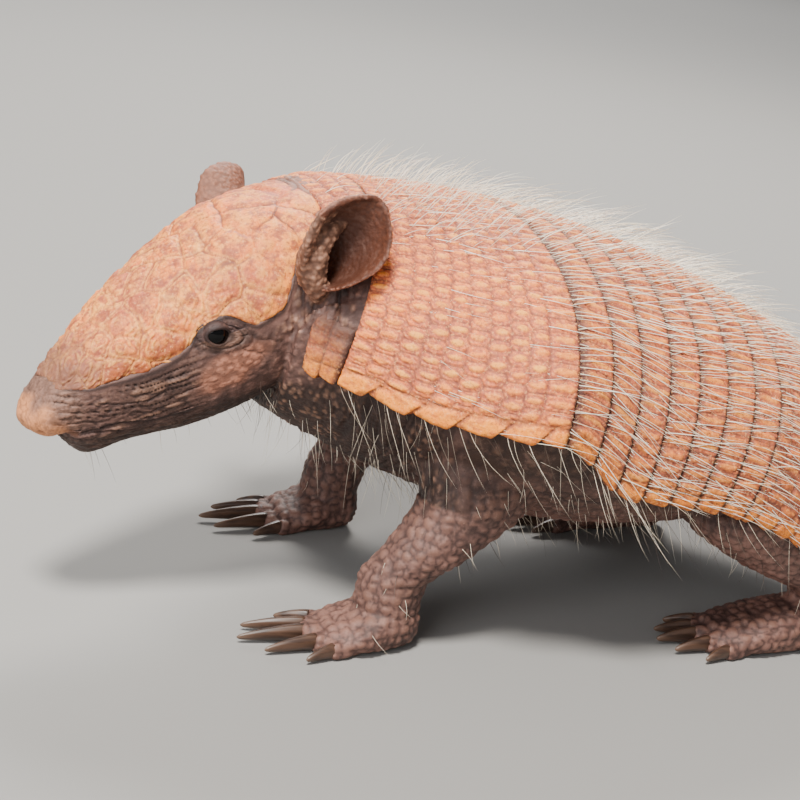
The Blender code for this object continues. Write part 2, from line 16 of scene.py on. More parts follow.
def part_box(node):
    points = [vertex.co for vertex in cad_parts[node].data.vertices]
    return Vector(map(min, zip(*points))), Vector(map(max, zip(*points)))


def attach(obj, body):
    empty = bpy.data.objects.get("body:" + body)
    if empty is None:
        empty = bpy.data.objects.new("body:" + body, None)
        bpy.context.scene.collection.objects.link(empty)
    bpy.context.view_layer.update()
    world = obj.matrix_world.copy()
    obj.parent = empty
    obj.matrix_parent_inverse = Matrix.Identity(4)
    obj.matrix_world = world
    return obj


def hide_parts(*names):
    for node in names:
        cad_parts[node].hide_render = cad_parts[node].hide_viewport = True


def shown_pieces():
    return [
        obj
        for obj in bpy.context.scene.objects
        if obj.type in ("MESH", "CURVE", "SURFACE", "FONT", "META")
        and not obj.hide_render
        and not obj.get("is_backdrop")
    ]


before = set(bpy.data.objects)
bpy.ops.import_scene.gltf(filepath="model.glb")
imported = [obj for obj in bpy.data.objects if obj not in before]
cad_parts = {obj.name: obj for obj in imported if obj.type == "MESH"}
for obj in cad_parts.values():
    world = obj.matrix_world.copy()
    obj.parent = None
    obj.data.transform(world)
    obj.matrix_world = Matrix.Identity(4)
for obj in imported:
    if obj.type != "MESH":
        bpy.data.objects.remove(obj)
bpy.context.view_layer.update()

# %% [markdown]
# ## The measures of the body
# The armour lies on a surface that rings sweep along the curve of the back, and the head is a stack
# of rings along the snout. The same curves that shape the solids are repeated here, so that every
# piece of the dress can be made at any fineness and still lie where its solid is.

# %% Curves of the back
BACK_TOP = 0.150
SHOULDER, BANDS, RUMP = 0.077, 0.094, 0.115
BAND_COUNT = 7
NAPE, NECK_BAND = 0.040, 0.015
PLATE, GAP = 0.0022, 0.0003
SEAT = PLATE + 0.0005
RING_POWER = 2.3
BANDS_END = SHOULDER + BANDS
RUMP_END = BANDS_END + RUMP


def curve(*keys):
    """A smooth function through (place, value) keys that never overshoots them."""
    x, y = np.array(keys, float).T
    slope = np.diff(y) / np.diff(x)
    inner = np.where(slope[1:] * slope[:-1] > 0,
                     2 * slope[1:] * slope[:-1] / (slope[1:] + slope[:-1] + 1e-12), 0)
    tangent = np.concatenate([[slope[0]], inner, [slope[-1]]])

    def value(t):
        t = np.clip(t, x[0], x[-1])
        i = np.clip(np.searchsorted(x, t) - 1, 0, len(x) - 2)
        step = x[i + 1] - x[i]
        u = (t - x[i]) / step
        return ((1 + 2 * u) * (1 - u) ** 2 * y[i] + u * (1 - u) ** 2 * step * tangent[i]
                + u * u * (3 - 2 * u) * y[i + 1] + u * u * (u - 1) * step * tangent[i + 1])

    return value


def unit(v):
    v = np.asarray(v, float)
    return v / (np.linalg.norm(v, axis=-1, keepdims=True) + 1e-15)


def smooth(low, high, x):
    """0 below low, 1 above high, and an even bend between."""
    t = np.clip((x - low) / (high - low), 0, 1)
    return t * t * (3 - 2 * t)


def bell(x, width):
    """1 at 0, and soon nothing beyond the width."""
    return np.exp(-(x / width) ** 2)


slope_of_back = curve((-NAPE, -20), (0, -1), (SHOULDER, 8), (BANDS_END, 22), (BANDS_END + 0.075, 38),
                      (RUMP_END, 54))
half_width = curve((-NAPE, 0.038), (0, 0.052), (0.035, 0.077), (SHOULDER, 0.095),
                   (BANDS_END, 0.088), (BANDS_END + 0.060, 0.080), (BANDS_END + 0.095, 0.058),
                   (RUMP_END, 0.036))
arch_depth = curve((-NAPE, 0.050), (0, 0.056), (0.035, 0.060), (SHOULDER, 0.0565), (SHOULDER + 0.035, 0.069),
                   (SHOULDER + 0.060, 0.067), (BANDS_END, 0.063), (BANDS_END + 0.060, 0.060),
                   (BANDS_END + 0.095, 0.050), (RUMP_END, 0.036))

BACK_S = np.linspace(-NAPE, RUMP_END, 400)
BACK_ANGLE = np.radians(slope_of_back(BACK_S))
step_of_back = BACK_S[1] - BACK_S[0]
mean_angle = (BACK_ANGLE[1:] + BACK_ANGLE[:-1]) / 2
BACK_X = np.concatenate([[0], np.cumsum(np.cos(mean_angle)) * step_of_back])
BACK_Z = -np.concatenate([[0], np.cumsum(np.sin(mean_angle)) * step_of_back])
BACK_X = BACK_X - np.interp(0, BACK_S, BACK_X)
BACK_Z = BACK_Z - BACK_Z.max() + BACK_TOP

# %% [markdown]
# The head has its own directions: forward along the snout, left and up. Its solids were placed by
# them, and the whole model was then moved so that the origin is under its middle. The left eye's
# solid tells how far.

# %% The head's frame
HEAD_AT = np.array([-0.0006, 0.0, 0.126])
HEAD_YAW, HEAD_PITCH = radians(18.6), radians(20.9)
HEAD_REAR, SNOUT = -0.012, 0.1105
EYE_AT = (0.0497, 0.0247, -0.0043)
EYE_RADIUS = 0.0047
MIDDLE = 0.45

head_top = curve((-0.030, 0.0165), (0, 0.0215), (0.022, 0.0232), (0.046, 0.0182), (0.066, 0.0118),
                 (0.086, 0.0022), (0.100, -0.0067), (0.1075, -0.0118), (SNOUT, -0.0150))
head_bottom = curve((-0.030, -0.034), (0, -0.0365), (0.022, -0.0390), (0.046, -0.0420), (0.062, -0.0412),
                    (0.072, -0.0388), (0.083, -0.0352), (0.092, -0.0312), (0.100, -0.0270), (0.1075, -0.0248),
                    (SNOUT, -0.0215))
head_half_width = curve((-0.030, 0.031), (0, 0.034), (0.022, 0.0335), (0.046, 0.0298), (0.066, 0.0242),
                        (0.086, 0.0175), (0.100, 0.0128), (0.1075, 0.0098), (SNOUT, 0.0060))
chin = curve((0.050, 0), (0.070, 0.0005), (0.083, 0.0026), (0.091, 0.0062), (0.0960, 0.0078),
             (0.0985, 0.0058), (0.1005, 0.0010))
shield_edge = curve((-0.006, 0.42), (0, 0.62), (0.008, 0.80), (0.017, 1.00), (0.022, 1.21), (0.028, 1.37),
                    (0.036, 1.38), (0.047, 1.12), (0.054, 1.12), (0.061, 1.28), (0.071, 1.33), (0.091, 1.16),
                    (0.101, 0.62))
SHIELD_REAR, SHIELD_FRONT = -0.005, 0.1005
mouth_line = curve((0.050, -0.0275), (0.072, -0.0285), (0.088, -0.0255), (0.100, -0.0250))

forward = np.array([-cos(HEAD_YAW) * cos(HEAD_PITCH), -sin(HEAD_YAW) * cos(HEAD_PITCH), -sin(HEAD_PITCH)])
left = np.array([sin(HEAD_YAW), -cos(HEAD_YAW), 0.0])
HEAD_AXES = np.column_stack([forward, left, np.cross(forward, left)])

eye_low, eye_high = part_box("eye_left")
eye_middle = np.array((eye_low + eye_high) / 2)
SHIFT = np.array([eye_middle[0] - (HEAD_AXES @ np.array(EYE_AT) + HEAD_AT)[0], 0.0, 0.0])
print("model moved by", np.round(SHIFT, 5), "eye at", np.round(eye_middle, 4))


def from_head(p):
    return np.asarray(p, float) @ HEAD_AXES.T + HEAD_AT + SHIFT


def to_head(p):
    return (np.asarray(p, float) - HEAD_AT - SHIFT) @ HEAD_AXES


def head_point(x, turn, grow=0.0, deeper=0.0):
    """A point of the head's skin: turn is 0 on top, pi/2 on the left and pi underneath."""
    top, bottom = head_top(x) + grow, head_bottom(x) - grow
    middle = top * MIDDLE + bottom * (1 - MIDDLE)
    c, s = np.cos(turn), np.sin(turn)
    reach = np.where(c > 0, top - middle, middle - bottom + deeper)
    y = (head_half_width(x) + grow) * np.sign(s) * abs(s) ** 0.85
    z = middle + np.sign(c) * reach * abs(c) ** 0.9
    return from_head(np.stack(np.broadcast_arrays(x, y, z), -1))


def arch(s, v, inset=0.0):
    """A point of the armour: v runs from -1 at the left edge over the back to 1 at the right edge."""
    s, v, inset = np.broadcast_arrays(np.asarray(s, float), np.asarray(v, float), inset)
    angle = np.interp(s, BACK_S, BACK_ANGLE)
    out = np.stack([np.sin(angle), 0 * angle, np.cos(angle)], -1)
    point = np.stack([np.interp(s, BACK_S, BACK_X), 0 * angle, np.interp(s, BACK_S, BACK_Z)], -1)
    turn = v * pi / 2
    across = np.sign(v) * abs(np.sin(turn)) ** (2 / RING_POWER)
    down = 1 - abs(np.cos(turn)) ** (2 / RING_POWER)
    made = point - out * (inset + (arch_depth(s) - inset) * down)[..., None]
    made[..., 1] = (half_width(s) - inset) * across
    return made + SHIFT


# The check: a point of the curve must lie on its solid.
low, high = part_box("band_4")
print("band 4 is", round((high - low)[1] * 1000, 1), "mm wide; its curve says",
      round(2000 * float(half_width(SHOULDER + 3 * BANDS / BAND_COUNT)), 1))

# %% [markdown]
# ## Noise for shapes
# Skin and scutes are never even. Two kinds of noise shape them: a soft one, which fades between
# random values on a lattice, and a cellular one, which gives each point the distance to its nearest
# seeds. Where the two nearest are equally far runs a border, which makes polygonal scales.

# %% Noise helpers
PRIMES = (73856093, 19349663, 83492791, 2654435761)
STIRRERS = ((15, 2246822519), (13, 3266489917))
ALL_BITS = 0xFFFFFFFF
FAR = 9.0               # further than any seed or edge


def hashed(*ints):
    """Repeatable random numbers from whole lattice places, from 0 to 1."""
    mixed = np.zeros_like(ints[0], dtype=np.uint32)
    for k, value in enumerate(ints):
        mixed ^= (value.astype(np.int64) & ALL_BITS).astype(np.uint32) * np.uint32(PRIMES[k % len(PRIMES)])
        for shift, factor in STIRRERS:
            mixed = (mixed ^ (mixed >> np.uint32(shift))) * np.uint32(factor)
        mixed ^= mixed >> np.uint32(16)
    return mixed.astype(np.float64) / ALL_BITS


def soft_noise(p, size, seed=0):
    """Values from -1 to 1 that change over about size metres."""
    p = np.asarray(p, float) / size
    cell = np.floor(p).astype(np.int64)
    t = p - cell
    t = t * t * t * (t * (t * 6 - 15) + 10)
    total = 0
    for corner in np.ndindex(*(2,) * p.shape[-1]):
        weight = np.ones(p.shape[:-1])
        place = []
        for axis, bit in enumerate(corner):
            weight = weight * (t[..., axis] if bit else 1 - t[..., axis])
            place.append(cell[..., axis] + bit)
        total = total + weight * hashed(*place, np.full_like(place[0], seed))
    return total * 2 - 1


def layered(p, size, seed=0, layers=3):
    total, strength = 0, 1.0
    for k in range(layers):
        total = total + soft_noise(p, size / 2 ** k, seed + k) * strength
        strength *= 0.5
    return total


def cells(p, size, seed=0, jitter=0.8):
    """The way to the nearest seed, how much further the next one is, and the cell's own number."""
    p = np.asarray(p, float) / size
    home = np.floor(p).astype(np.int64)
    shape = p.shape[:-1]
    first, second, name = np.full(shape, FAR), np.full(shape, FAR), np.zeros(shape)
    for corner in np.ndindex(*(3,) * p.shape[-1]):
        place = [home[..., axis] + bit - 1 for axis, bit in enumerate(corner)]
        away = 0
        for axis in range(p.shape[-1]):
            seed_here = np.full_like(place[0], seed * 7 + axis)
            seat = place[axis] + 0.5 + jitter * (hashed(*place, seed_here) - 0.5)
            away = away + (p[..., axis] - seat) ** 2
        away = np.sqrt(away)
        own = hashed(*place, np.full_like(place[0], seed * 7 + 5))
        nearer = away < first
        second = np.where(nearer, first, np.minimum(second, away))
        name = np.where(nearer, own, name)
        first = np.where(nearer, away, first)
    return first, second - first, name


print("noise sample:", np.round(soft_noise(np.array([[0.1, 0.2, 0.3]]), 0.05), 3))

# %% [markdown]
# ## Meshes from arrays
# Most pieces here are grids or stacks of rings worked out with NumPy. These helpers turn them into
# Blender meshes in one go, which is much faster than adding vertices one by one.

# %% Mesh helpers
def mesh_of(name, points, sides, sizes):
    """A mesh: points (n, 3), the corners of every face in one row, and how many corners each face has."""
    mesh = bpy.data.meshes.new(name)
    mesh.vertices.add(len(points))
    set_places(mesh, points)
    mesh.loops.add(len(sides))
    mesh.loops.foreach_set("vertex_index", np.ascontiguousarray(sides, np.int32))
    mesh.polygons.add(len(sizes))
    mesh.polygons.foreach_set("loop_start", np.concatenate([[0], np.cumsum(sizes)[:-1]]).astype(np.int32))
    mesh.update(calc_edges=True)
    mesh.shade_smooth()
    return mesh


def shown(name, data):
    """An object in the scene."""
    obj = bpy.data.objects.new(name, data)
    bpy.context.scene.collection.objects.link(obj)
    return obj


def mesh_object(name, points, faces):
    return shown(name, mesh_of(name, points, faces.ravel(), np.full(len(faces), faces.shape[1])))


def read(items, field, width=1, kind=np.float32):
    """One property of all the vertices, edges or faces of a mesh."""
    values = np.empty(len(items) * width, kind)
    items.foreach_get(field, values)
    return values.reshape(-1, width).astype(float) if width == 3 else values


def places_of(mesh):
    return read(mesh.vertices, "co", 3)


def directions_of(mesh):
    return read(mesh.vertex_normals, "vector", 3)


def set_places(mesh, points):
    mesh.vertices.foreach_set("co", np.ascontiguousarray(points, np.float32).ravel())
    mesh.update()


def paint(obj, extra=0, **layers):
    """Stores numbers for each vertex, for the materials to read. The extra points at the end get 0."""
    for name, values in layers.items():
        values = np.append(values, np.zeros(extra)).astype(np.float32)
        obj.data.attributes.new(name, "FLOAT", "POINT").data.foreach_set("value", values)


def dress(obj, slot, *replaced):
    """Lets a piece ride on the body, in the place of its solids. The slot, what it is made of, is not used.
    """
    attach(obj, "root")
    if replaced:
        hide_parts(*replaced)
    return obj


def numbered(rows, count, first=0):
    return np.arange(rows * count).reshape(rows, count) + first


def squares_of(a):
    """The corners of every cell of a grid of numbers."""
    return np.stack([a[:-1, :-1], a[:-1, 1:], a[1:, 1:], a[1:, :-1]], -1).reshape(-1, 4)


def rim_of(a):
    """The numbers along the border of a grid."""
    return np.concatenate([a[0], a[1:, -1], a[-1, -2::-1], a[-2:0:-1, 0]])


def halved(quads):
    return np.concatenate([quads[:, [0, 1, 2]], quads[:, [0, 2, 3]]])


def tube(rings):
    """Points and triangles of a closed body through rings of points, with a fan over each end."""
    rings = np.asarray(rings, float)
    rows, count = rings.shape[:2]
    a = numbered(rows, count)
    b = np.roll(a, -1, axis=1)
    faces = [np.stack(corners, -1).reshape(-1, 3)
             for corners in ((a[:-1], b[:-1], b[1:]), (a[:-1], b[1:], a[1:]))]
    for row, centre, turn in ((0, rows * count, 1), (rows - 1, rows * count + 1, -1)):
        faces.append(np.stack([b[row], a[row], np.full(count, centre)], -1)[:, ::turn])
    points = np.concatenate([rings.reshape(-1, 3), [rings[0].mean(0), rings[-1].mean(0)]])
    return points, np.concatenate(faces)


def slab(outer, inner):
    """A closed body between two grids of the same size."""
    a = numbered(*outer.shape[:2])
    b = a + a.size
    rim, under = rim_of(a), rim_of(b)
    quads = [squares_of(a),
             np.stack([b[:-1, :-1], b[1:, :-1], b[1:, 1:], b[:-1, 1:]], -1).reshape(-1, 4),
             np.stack([rim, under, np.roll(under, -1), np.roll(rim, -1)], -1)]
    return np.concatenate([outer.reshape(-1, 3), inner.reshape(-1, 3)]), halved(np.concatenate(quads))


def refine(stations, count):
    """More rows between some stations, along smooth curves."""
    stations = np.asarray(stations, float)
    keys = np.arange(len(stations))
    flat = stations.reshape(len(stations), -1)
    fine = np.column_stack([curve(*zip(keys, column))(np.linspace(0, keys[-1], count)) for column in flat.T])
    return fine.reshape(count, *stations.shape[1:])


def tree_of(points):
    """Finds which of the points is nearest to a place."""
    tree = KDTree(len(points))
    for k, p in enumerate(points):
        tree.insert(p, k)
    tree.balance()
    return tree


# %% [markdown]
# ## The flesh, as bodies that overlap
# On the animal one skin runs from the lips to the tail. It is made from overlapping closed bodies:
# head, jaw, neck, trunk, legs, feet, ears and tail. A voxel remesh then melts them into one surface,
# which leaves no seam and rounds the corners where they meet.

# %% Head, jaw and neck
UNDER_SKIN = -0.0002     # the flesh lies a little inside its solids, because its relief rises from it
turns = np.linspace(0, 2 * pi, 96, endpoint=False)


def rounded_end(ring, along, length, steps=5):
    """Rings that close a tube like the end of an egg."""
    centre = ring.mean(0)
    angles = np.linspace(0, pi / 2 * 0.94, steps + 1)[1:]
    return [centre + (ring - centre) * cos(a) + along * length * sin(a) for a in angles]


head_rings = [head_point(x, turns, UNDER_SKIN) for x in np.linspace(HEAD_REAR, SNOUT, 80)]
head_rings += rounded_end(head_rings[-1], HEAD_AXES[:, 0], 0.0012)
jaw_x = np.linspace(0.052, 0.0990, 50)
jaw_rings = [head_point(x, turns, UNDER_SKIN, chin(x)) for x in jaw_x]
upper = [to_head(ring) for ring in jaw_rings]
for x, ring in zip(jaw_x, upper):
    ring[:, 2] = np.minimum(ring[:, 2], mouth_line(x) + 0.0008)
jaw_rings = [from_head(ring) for ring in upper]
jaw_rings += rounded_end(jaw_rings[-1], HEAD_AXES[:, 0], 0.0014)

TRUNK_FRONT, TRUNK_REACH = 0.022, 0.80
TRUNK_END = RUMP_END - 0.004
TOP_COUNT, BELLY_COUNT = 41, 26
YAW_LEAN = 0.011
belly_x = curve((-0.012, -0.009), (TRUNK_FRONT, 0.021), (0.050, 0.047), (0.077, 0.070), (0.100, 0.090),
                (0.124, 0.109), (0.150, 0.129), (0.171, 0.144), (0.190, 0.157), (0.210, 0.170),
                (0.231, 0.183), (0.246, 0.193), (0.260, 0.202), (0.272, 0.211), (RUMP_END, 0.221))
belly_taper = curve((-0.012, 1.0), (0.050, 1.30), (0.124, 1.15), (0.171, 1.45), (0.231, 1.9), (RUMP_END, 1.2))
belly_z = curve((-0.012, 0.070), (TRUNK_FRONT, 0.054), (0.050, 0.044), (0.077, 0.038), (0.100, 0.035),
                (0.150, 0.034), (0.190, 0.036), (0.231, 0.040), (RUMP_END, 0.046))
collar = curve((0, -NECK_BAND), (0.42, -NECK_BAND), (0.50, 0), (0.68, 0), (0.76, -NECK_BAND), (1, -NECK_BAND))


def shoulder_front(v):
    """The shoulder shield's front edge hollows out round the neck."""
    return 0.003 + 0.016 * (1 - abs(v) ** 1.5)


def trunk_ring(s, sink=SEAT):
    """Under the armour the flesh follows it; below it the belly closes the ring."""
    top = arch(s, np.linspace(-TRUNK_REACH, TRUNK_REACH, TOP_COUNT), sink)
    turn = np.linspace(0, pi, BELLY_COUNT)[1:-1]
    edge = top[-1]
    belly = np.array([belly_x(s), 0, belly_z(s)]) + SHIFT
    low = edge + (belly - edge) * (np.sin(turn) ** 0.8)[:, None]
    low[:, 1] = edge[1] * np.sign(np.cos(turn)) * abs(np.cos(turn)) ** belly_taper(s)
    return np.concatenate([top, low])


spread = np.linspace(-TRUNK_REACH, TRUNK_REACH, TOP_COUNT)
round_head = np.concatenate([np.linspace(1.9, -1.9, TOP_COUNT),
                             np.linspace(-1.9, 1.9 - 2 * pi, BELLY_COUNT)[1:-1]])
neck_in_head = np.stack([head_point(0.017 + YAW_LEAN * sin(a), a, -0.0040) for a in round_head])
neck_front, neck_middle, neck_rear = trunk_ring(-0.012), trunk_ring(0.006), trunk_ring(TRUNK_FRONT + 0.004)
start = shoulder_front(spread) + collar(abs(spread))
neck_front[:TOP_COUNT] = arch(start, spread, SEAT)
neck_middle[:TOP_COUNT] = arch((start + TRUNK_FRONT) / 2, spread, SEAT)
neck_rings = [neck_in_head + (neck_front - neck_in_head) * t for t in np.linspace(0, 1, 18)]
neck_rings += list(refine([neck_front, neck_middle, neck_rear], 10))[1:]
trunk_rings = [trunk_ring(s) for s in np.linspace(TRUNK_FRONT, TRUNK_END, 70)]
flesh = {"head": tube(head_rings), "jaw": tube(jaw_rings), "neck": tube(neck_rings),
         "trunk": tube(trunk_rings)}

# %% [markdown]
# Each ear is a leaf that is rolled into a tube at its root and opens into a cup. Its front edge is a
# thick, warty roll.

# %% Ears
EAR_LENGTH, EAR_WALL = 0.0350, 0.0016
EAR_ROWS, EAR_COLUMNS = 50, 70
EARS = {"left": (1, (0.0110, 0.0312, 0.0063), (-.44, .59, .68), (.654, .757, .05)),
        "right": (-1, (0.0050, 0.0215, -0.0020), (-.52, .76, .36), (.70, .71, .05))}
half_arc = curve((0, 0.0190), (0.35, 0.0235), (0.65, 0.0210), (0.86, 0.0137), (1, 0.0042))
curl = curve((0, 2.60), (0.30, 2.25), (0.65, 1.58), (1, 0.92))
root_share = curve((0, 0.84), (0.12, 1.0), (1, 1.0))
root_sink = curve((0, 0.0030), (0.12, 0.0), (1, 0.0))
# The lobe: along the ear, outward, across, and how thick it is.
LOBE = ((-0.0045, 0.0095, 0.0050, 0.0012), (-0.0012, 0.0105, 0.0034, 0.0036),
        (0.0031, 0.0110, -0.0013, 0.0048), (0.0077, 0.0104, -0.0047, 0.0050),
        (0.0129, 0.0080, -0.0060, 0.0040), (0.0180, 0.0040, -0.0046, 0.0024),
        (0.0205, 0.0018, -0.0036, 0.0010))
ear_grids, lobe_rings = {}, {}
for name, (side, root, up, out) in EARS.items():
    root, up, out = (np.array((p[0], p[1] * side, p[2])) for p in (root, up, out))
    up = unit(up)
    out = unit(out - up * (out @ up))
    across = np.cross(up, out) * side
    t, u = np.meshgrid(np.linspace(0, 1, EAR_ROWS), np.linspace(-1, 1, EAR_COLUMNS), indexing="ij")
    bend = u * curl(t)
    radius = half_arc(t) / curl(t)
    middle = root + up * (EAR_LENGTH * t)[..., None] + out * (radius - root_sink(t))[..., None]
    round_ = across * np.sin(bend)[..., None] - out * np.cos(bend)[..., None]
    lean = up * (EAR_LENGTH * t * 0.07 * u * u * (1 - t))[..., None]
    # The front edge is thicker, and every edge thins out to a round rim.
    thick = (EAR_WALL * (1.05 + 1.1 * smooth(0.55, 0.9, -u) * (1 - 0.5 * t))
             * (0.55 + 0.45 * smooth(0, 0.12, 1 - abs(u))))
    ear_grids[name] = [from_head(middle + round_ * (radius * root_share(t) - wall)[..., None] - lean)
                       for wall in (0, thick)]
    flesh["ear_" + name] = slab(*ear_grids[name])
    # A thick warty lobe stands in front of the cup.
    path = refine(LOBE, 36)
    centres = root + up * path[:, :1] + out * path[:, 1:2] + across * path[:, 2:3]
    runs = unit(np.gradient(centres, axis=0))
    beside = unit(np.cross(runs, out))
    above = np.cross(beside, runs)
    ring = np.linspace(0, 2 * pi, 28, endpoint=False)
    lobe = centres[:, None] + (beside[:, None] * np.cos(ring)[:, None]
                               + 0.85 * above[:, None] * np.sin(ring)[:, None]) * path[:, 3:, None]
    lobe_rings[name] = from_head(lobe)
    flesh["lobe_" + name] = tube(lobe_rings[name])

# %% [markdown]
# A leg is a stack of level rings that ends in a flat-soled foot with five toes. Every toe is a short
# tube, pressed flat where it meets the floor.

# %% Legs, feet and tail
# Each toe: across the foot, how far back it ends, its thickness, its claw's length, and its splay.
TOES = {"fore": ((-0.0132, 0.0015, 0.0032, 0.011, -20), (-0.0068, 0.0060, 0.0036, 0.020, -8),
                 (0.0, 0.0075, 0.0039, 0.022, 0), (0.0069, 0.0055, 0.0036, 0.017, 9),
                 (0.0133, 0.0005, 0.0032, 0.010, 22)),
        "hind": ((-0.0133, 0.0005, 0.0033, 0.010, -18), (-0.0068, 0.0050, 0.0037, 0.013, -7),
                 (0.0, 0.0070, 0.0040, 0.014, 0), (0.0069, 0.0050, 0.0037, 0.013, 8),
                 (0.0134, 0.0, 0.0033, 0.010, 20))}
# Each sole: the share of its length, the middle's height, the half width and the half height.
SOLES = {"fore": ((0, 0.0095, 0.0080, 0.0080), (0.30, 0.0088, 0.0118, 0.0095), (0.70, 0.0060, 0.0148, 0.0064),
                  (1, 0.0044, 0.0108, 0.0044)),
         "hind": ((0, 0.0085, 0.0066, 0.0080), (0.12, 0.0095, 0.0100, 0.0098), (0.45, 0.0086, 0.0120, 0.0098),
                  (0.78, 0.0062, 0.0146, 0.0068), (1, 0.0046, 0.0112, 0.0046))}
# Each leg, from the top: x, how much of the stride it takes part in, y, z, half depth and half width.
LEGS = {"fore": ((0.062, 0.2, 0.040, 0.090, 0.026, 0.020), (0.062, 0.4, 0.050, 0.072, 0.0255, 0.0195),
                 (0.058, 0.7, 0.055, 0.054, 0.0200, 0.0160), (0.046, 0.9, 0.0555, 0.038, 0.0158, 0.0130),
                 (0.034, 1, 0.053, 0.0235, 0.0120, 0.0112), (0.033, 1, 0.053, 0.0140, 0.0116, 0.0108),
                 (0.033, 1, 0.053, 0.0060, 0.0104, 0.0098)),
        "hind": ((0.184, 0.2, 0.042, 0.078, 0.028, 0.018), (0.178, 0.4, 0.054, 0.064, 0.030, 0.0205),
                 (0.168, 0.7, 0.060, 0.050, 0.0275, 0.0185), (0.184, 0.9, 0.060, 0.035, 0.0215, 0.0142),
                 (0.205, 1, 0.058, 0.0215, 0.0135, 0.0115), (0.205, 1, 0.058, 0.0130, 0.0130, 0.0110),
                 (0.205, 1, 0.058, 0.0060, 0.0116, 0.0099))}
# Heel, toe, distance from the middle, and the stride of the right leg. The left one stays.
FEET = {"fore": (0.044, 0.011, 0.053, 0.012), "hind": (0.217, 0.160, 0.058, -0.018)}
round_leg = np.linspace(0, 2 * pi, 40, endpoint=False)
claws = []          # name, root, direction, length and thickness of each claw


def on_floor(ring):
    ring[:, 2] = np.maximum(ring[:, 2], 0.0)
    return ring


def foot_bodies(name, heel, toe, y, side, sole, toes):
    rings = []
    shares = np.linspace(0, 1, 40)
    keys = np.array(sole).T
    for t, z, half, height in zip(shares, *[curve(*zip(keys[0], column))(shares) for column in keys[1:]]):
        c, s = np.cos(round_leg), np.sin(round_leg)
        close = 0.72 + 0.28 * smooth(0, 0.10, t) ** 0.5
        rings.append(on_floor(np.stack([np.full_like(c, heel + (toe - heel) * t),
                                        y + half * close * np.sign(c) * abs(c) ** 0.72,
                                        z + height * close * s],
                                       -1) + SHIFT))
    flesh[name] = tube(rings)
    for number, (offset, reach, thick, length, splay) in enumerate(toes, 1):
        aim = np.array([-cos(radians(splay)), sin(radians(splay)) * side, 0])
        across = np.array([-aim[1], aim[0], 0])
        end = np.array([toe - reach, y + offset * side, thick * 0.95]) + SHIFT
        starts = [end - aim * (0.012 + reach), end - aim * (0.004 + reach * 0.5), end - aim * 0.0016, end]
        # The toe's knuckle stands a little higher than its ends.
        stations = refine(np.column_stack([starts, thick * np.array([0.9, 1.02, 0.96, 0.72])]), 14)
        flesh[f"{name}_toe_{number}"] = tube([
            on_floor(row[:3] + across * (row[3] * np.cos(round_leg))[:, None]
                     + np.array([0, 0, 1.05]) * (row[3] * np.sin(round_leg))[:, None]) for row in stations])
        root = end + aim * GAP + np.array([0, 0, 0.0006])
        claws.append((f"{name}_claw_{number}", root, aim, length, thick))


for side, name in ((-1, "left"), (1, "right")):
    for pair, leg_name in (("fore", "foreleg_"), ("hind", "hindleg_")):
        heel, toe, out, stride = FEET[pair]
        step = stride if side > 0 else 0
        stations = [(x + step * share, side * y, z, deep, wide) for x, share, y, z, deep, wide in LEGS[pair]]
        flesh[leg_name + name] = tube([
            np.stack([x + deep * np.sin(round_leg), y + wide * np.cos(round_leg),
                      np.full_like(round_leg, z)], -1)
            + SHIFT for x, y, z, deep, wide in refine(stations, 60)])
        foot_bodies(f"{pair}foot_{name}", heel + step, toe + step, side * out, side, SOLES[pair], TOES[pair])

TAIL_LENGTH, TAIL_ROOT = 0.188, RUMP_END - 0.012
angle_at_end, x_at_end, z_at_end = (np.interp(TAIL_ROOT, BACK_S, along)
                                    for along in (BACK_ANGLE, BACK_X, BACK_Z))
tail_here = np.array([x_at_end, 0, z_at_end])
tail_here = tail_here - np.array([sin(angle_at_end), 0, cos(angle_at_end)]) * 0.0205 + SHIFT
fall = curve((0, -42), (0.2, -24), (0.45, -9), (0.75, -2), (1, 3))
tail_radius = curve((0, 0.0150), (0.15, 0.0142), (0.5, 0.0105), (0.85, 0.0070), (1, 0.0042))
tail_side = curve((0, 0), (0.5, 2), (1, 16))
tail_path = []
for t in np.linspace(0, 1, 15):
    down, turn = radians(fall(t)), radians(tail_side(t))
    along = np.array([cos(down) * cos(turn), cos(down) * sin(turn), sin(down)])
    tail_path.append(np.concatenate([tail_here, along, [tail_radius(t)]]))
    tail_here = tail_here + along * TAIL_LENGTH / 14
tail_path = refine(tail_path, 110)
tail_rings = []
for row in tail_path:
    along = unit(row[3:6])
    across = unit(np.cross(along, (0, 0, 1)))
    upward = np.cross(across, along)
    circle = across * np.cos(round_leg)[:, None] + upward * np.sin(round_leg)[:, None]
    tail_rings.append(row[:3] + circle * row[6])
tail_rings += rounded_end(tail_rings[-1], unit(tail_path[-1][3:6]), 0.0042)
flesh["tail"] = tube(tail_rings)
print(len(flesh), "bodies of flesh,", sum(len(f) for _, f in flesh.values()), "triangles before the remesh")

# %% [markdown]
# ## One skin
# The voxel remesh turns the bodies into one closed surface of even squares. A few rounds of
# smoothing take its steps away. The flesh under the armour is never seen, so most of its squares are
# merged there, and the head, the ears and the neck are split finer instead.

# %% Melt the bodies into one surface
VOXEL = 0.0010
HIDDEN = 0.0036         # skin this near to the cover is never seen
counts = np.cumsum([0] + [len(points) for points, _ in flesh.values()])
bodies = mesh_object("bodies", np.concatenate([points for points, _ in flesh.values()]),
                     np.concatenate([faces + before for (_, faces), before in zip(flesh.values(), counts)]))


def melted(obj, kind, **settings):
    """The mesh that one modifier makes of an object."""
    step = obj.modifiers.new("step", kind)
    for name, value in settings.items():
        setattr(step, name, value)
    mesh = bpy.data.meshes.new_from_object(obj.evaluated_get(bpy.context.evaluated_depsgraph_get()))
    bpy.data.objects.remove(obj, do_unlink=True)
    return mesh


GIVE_BACK = 1.04


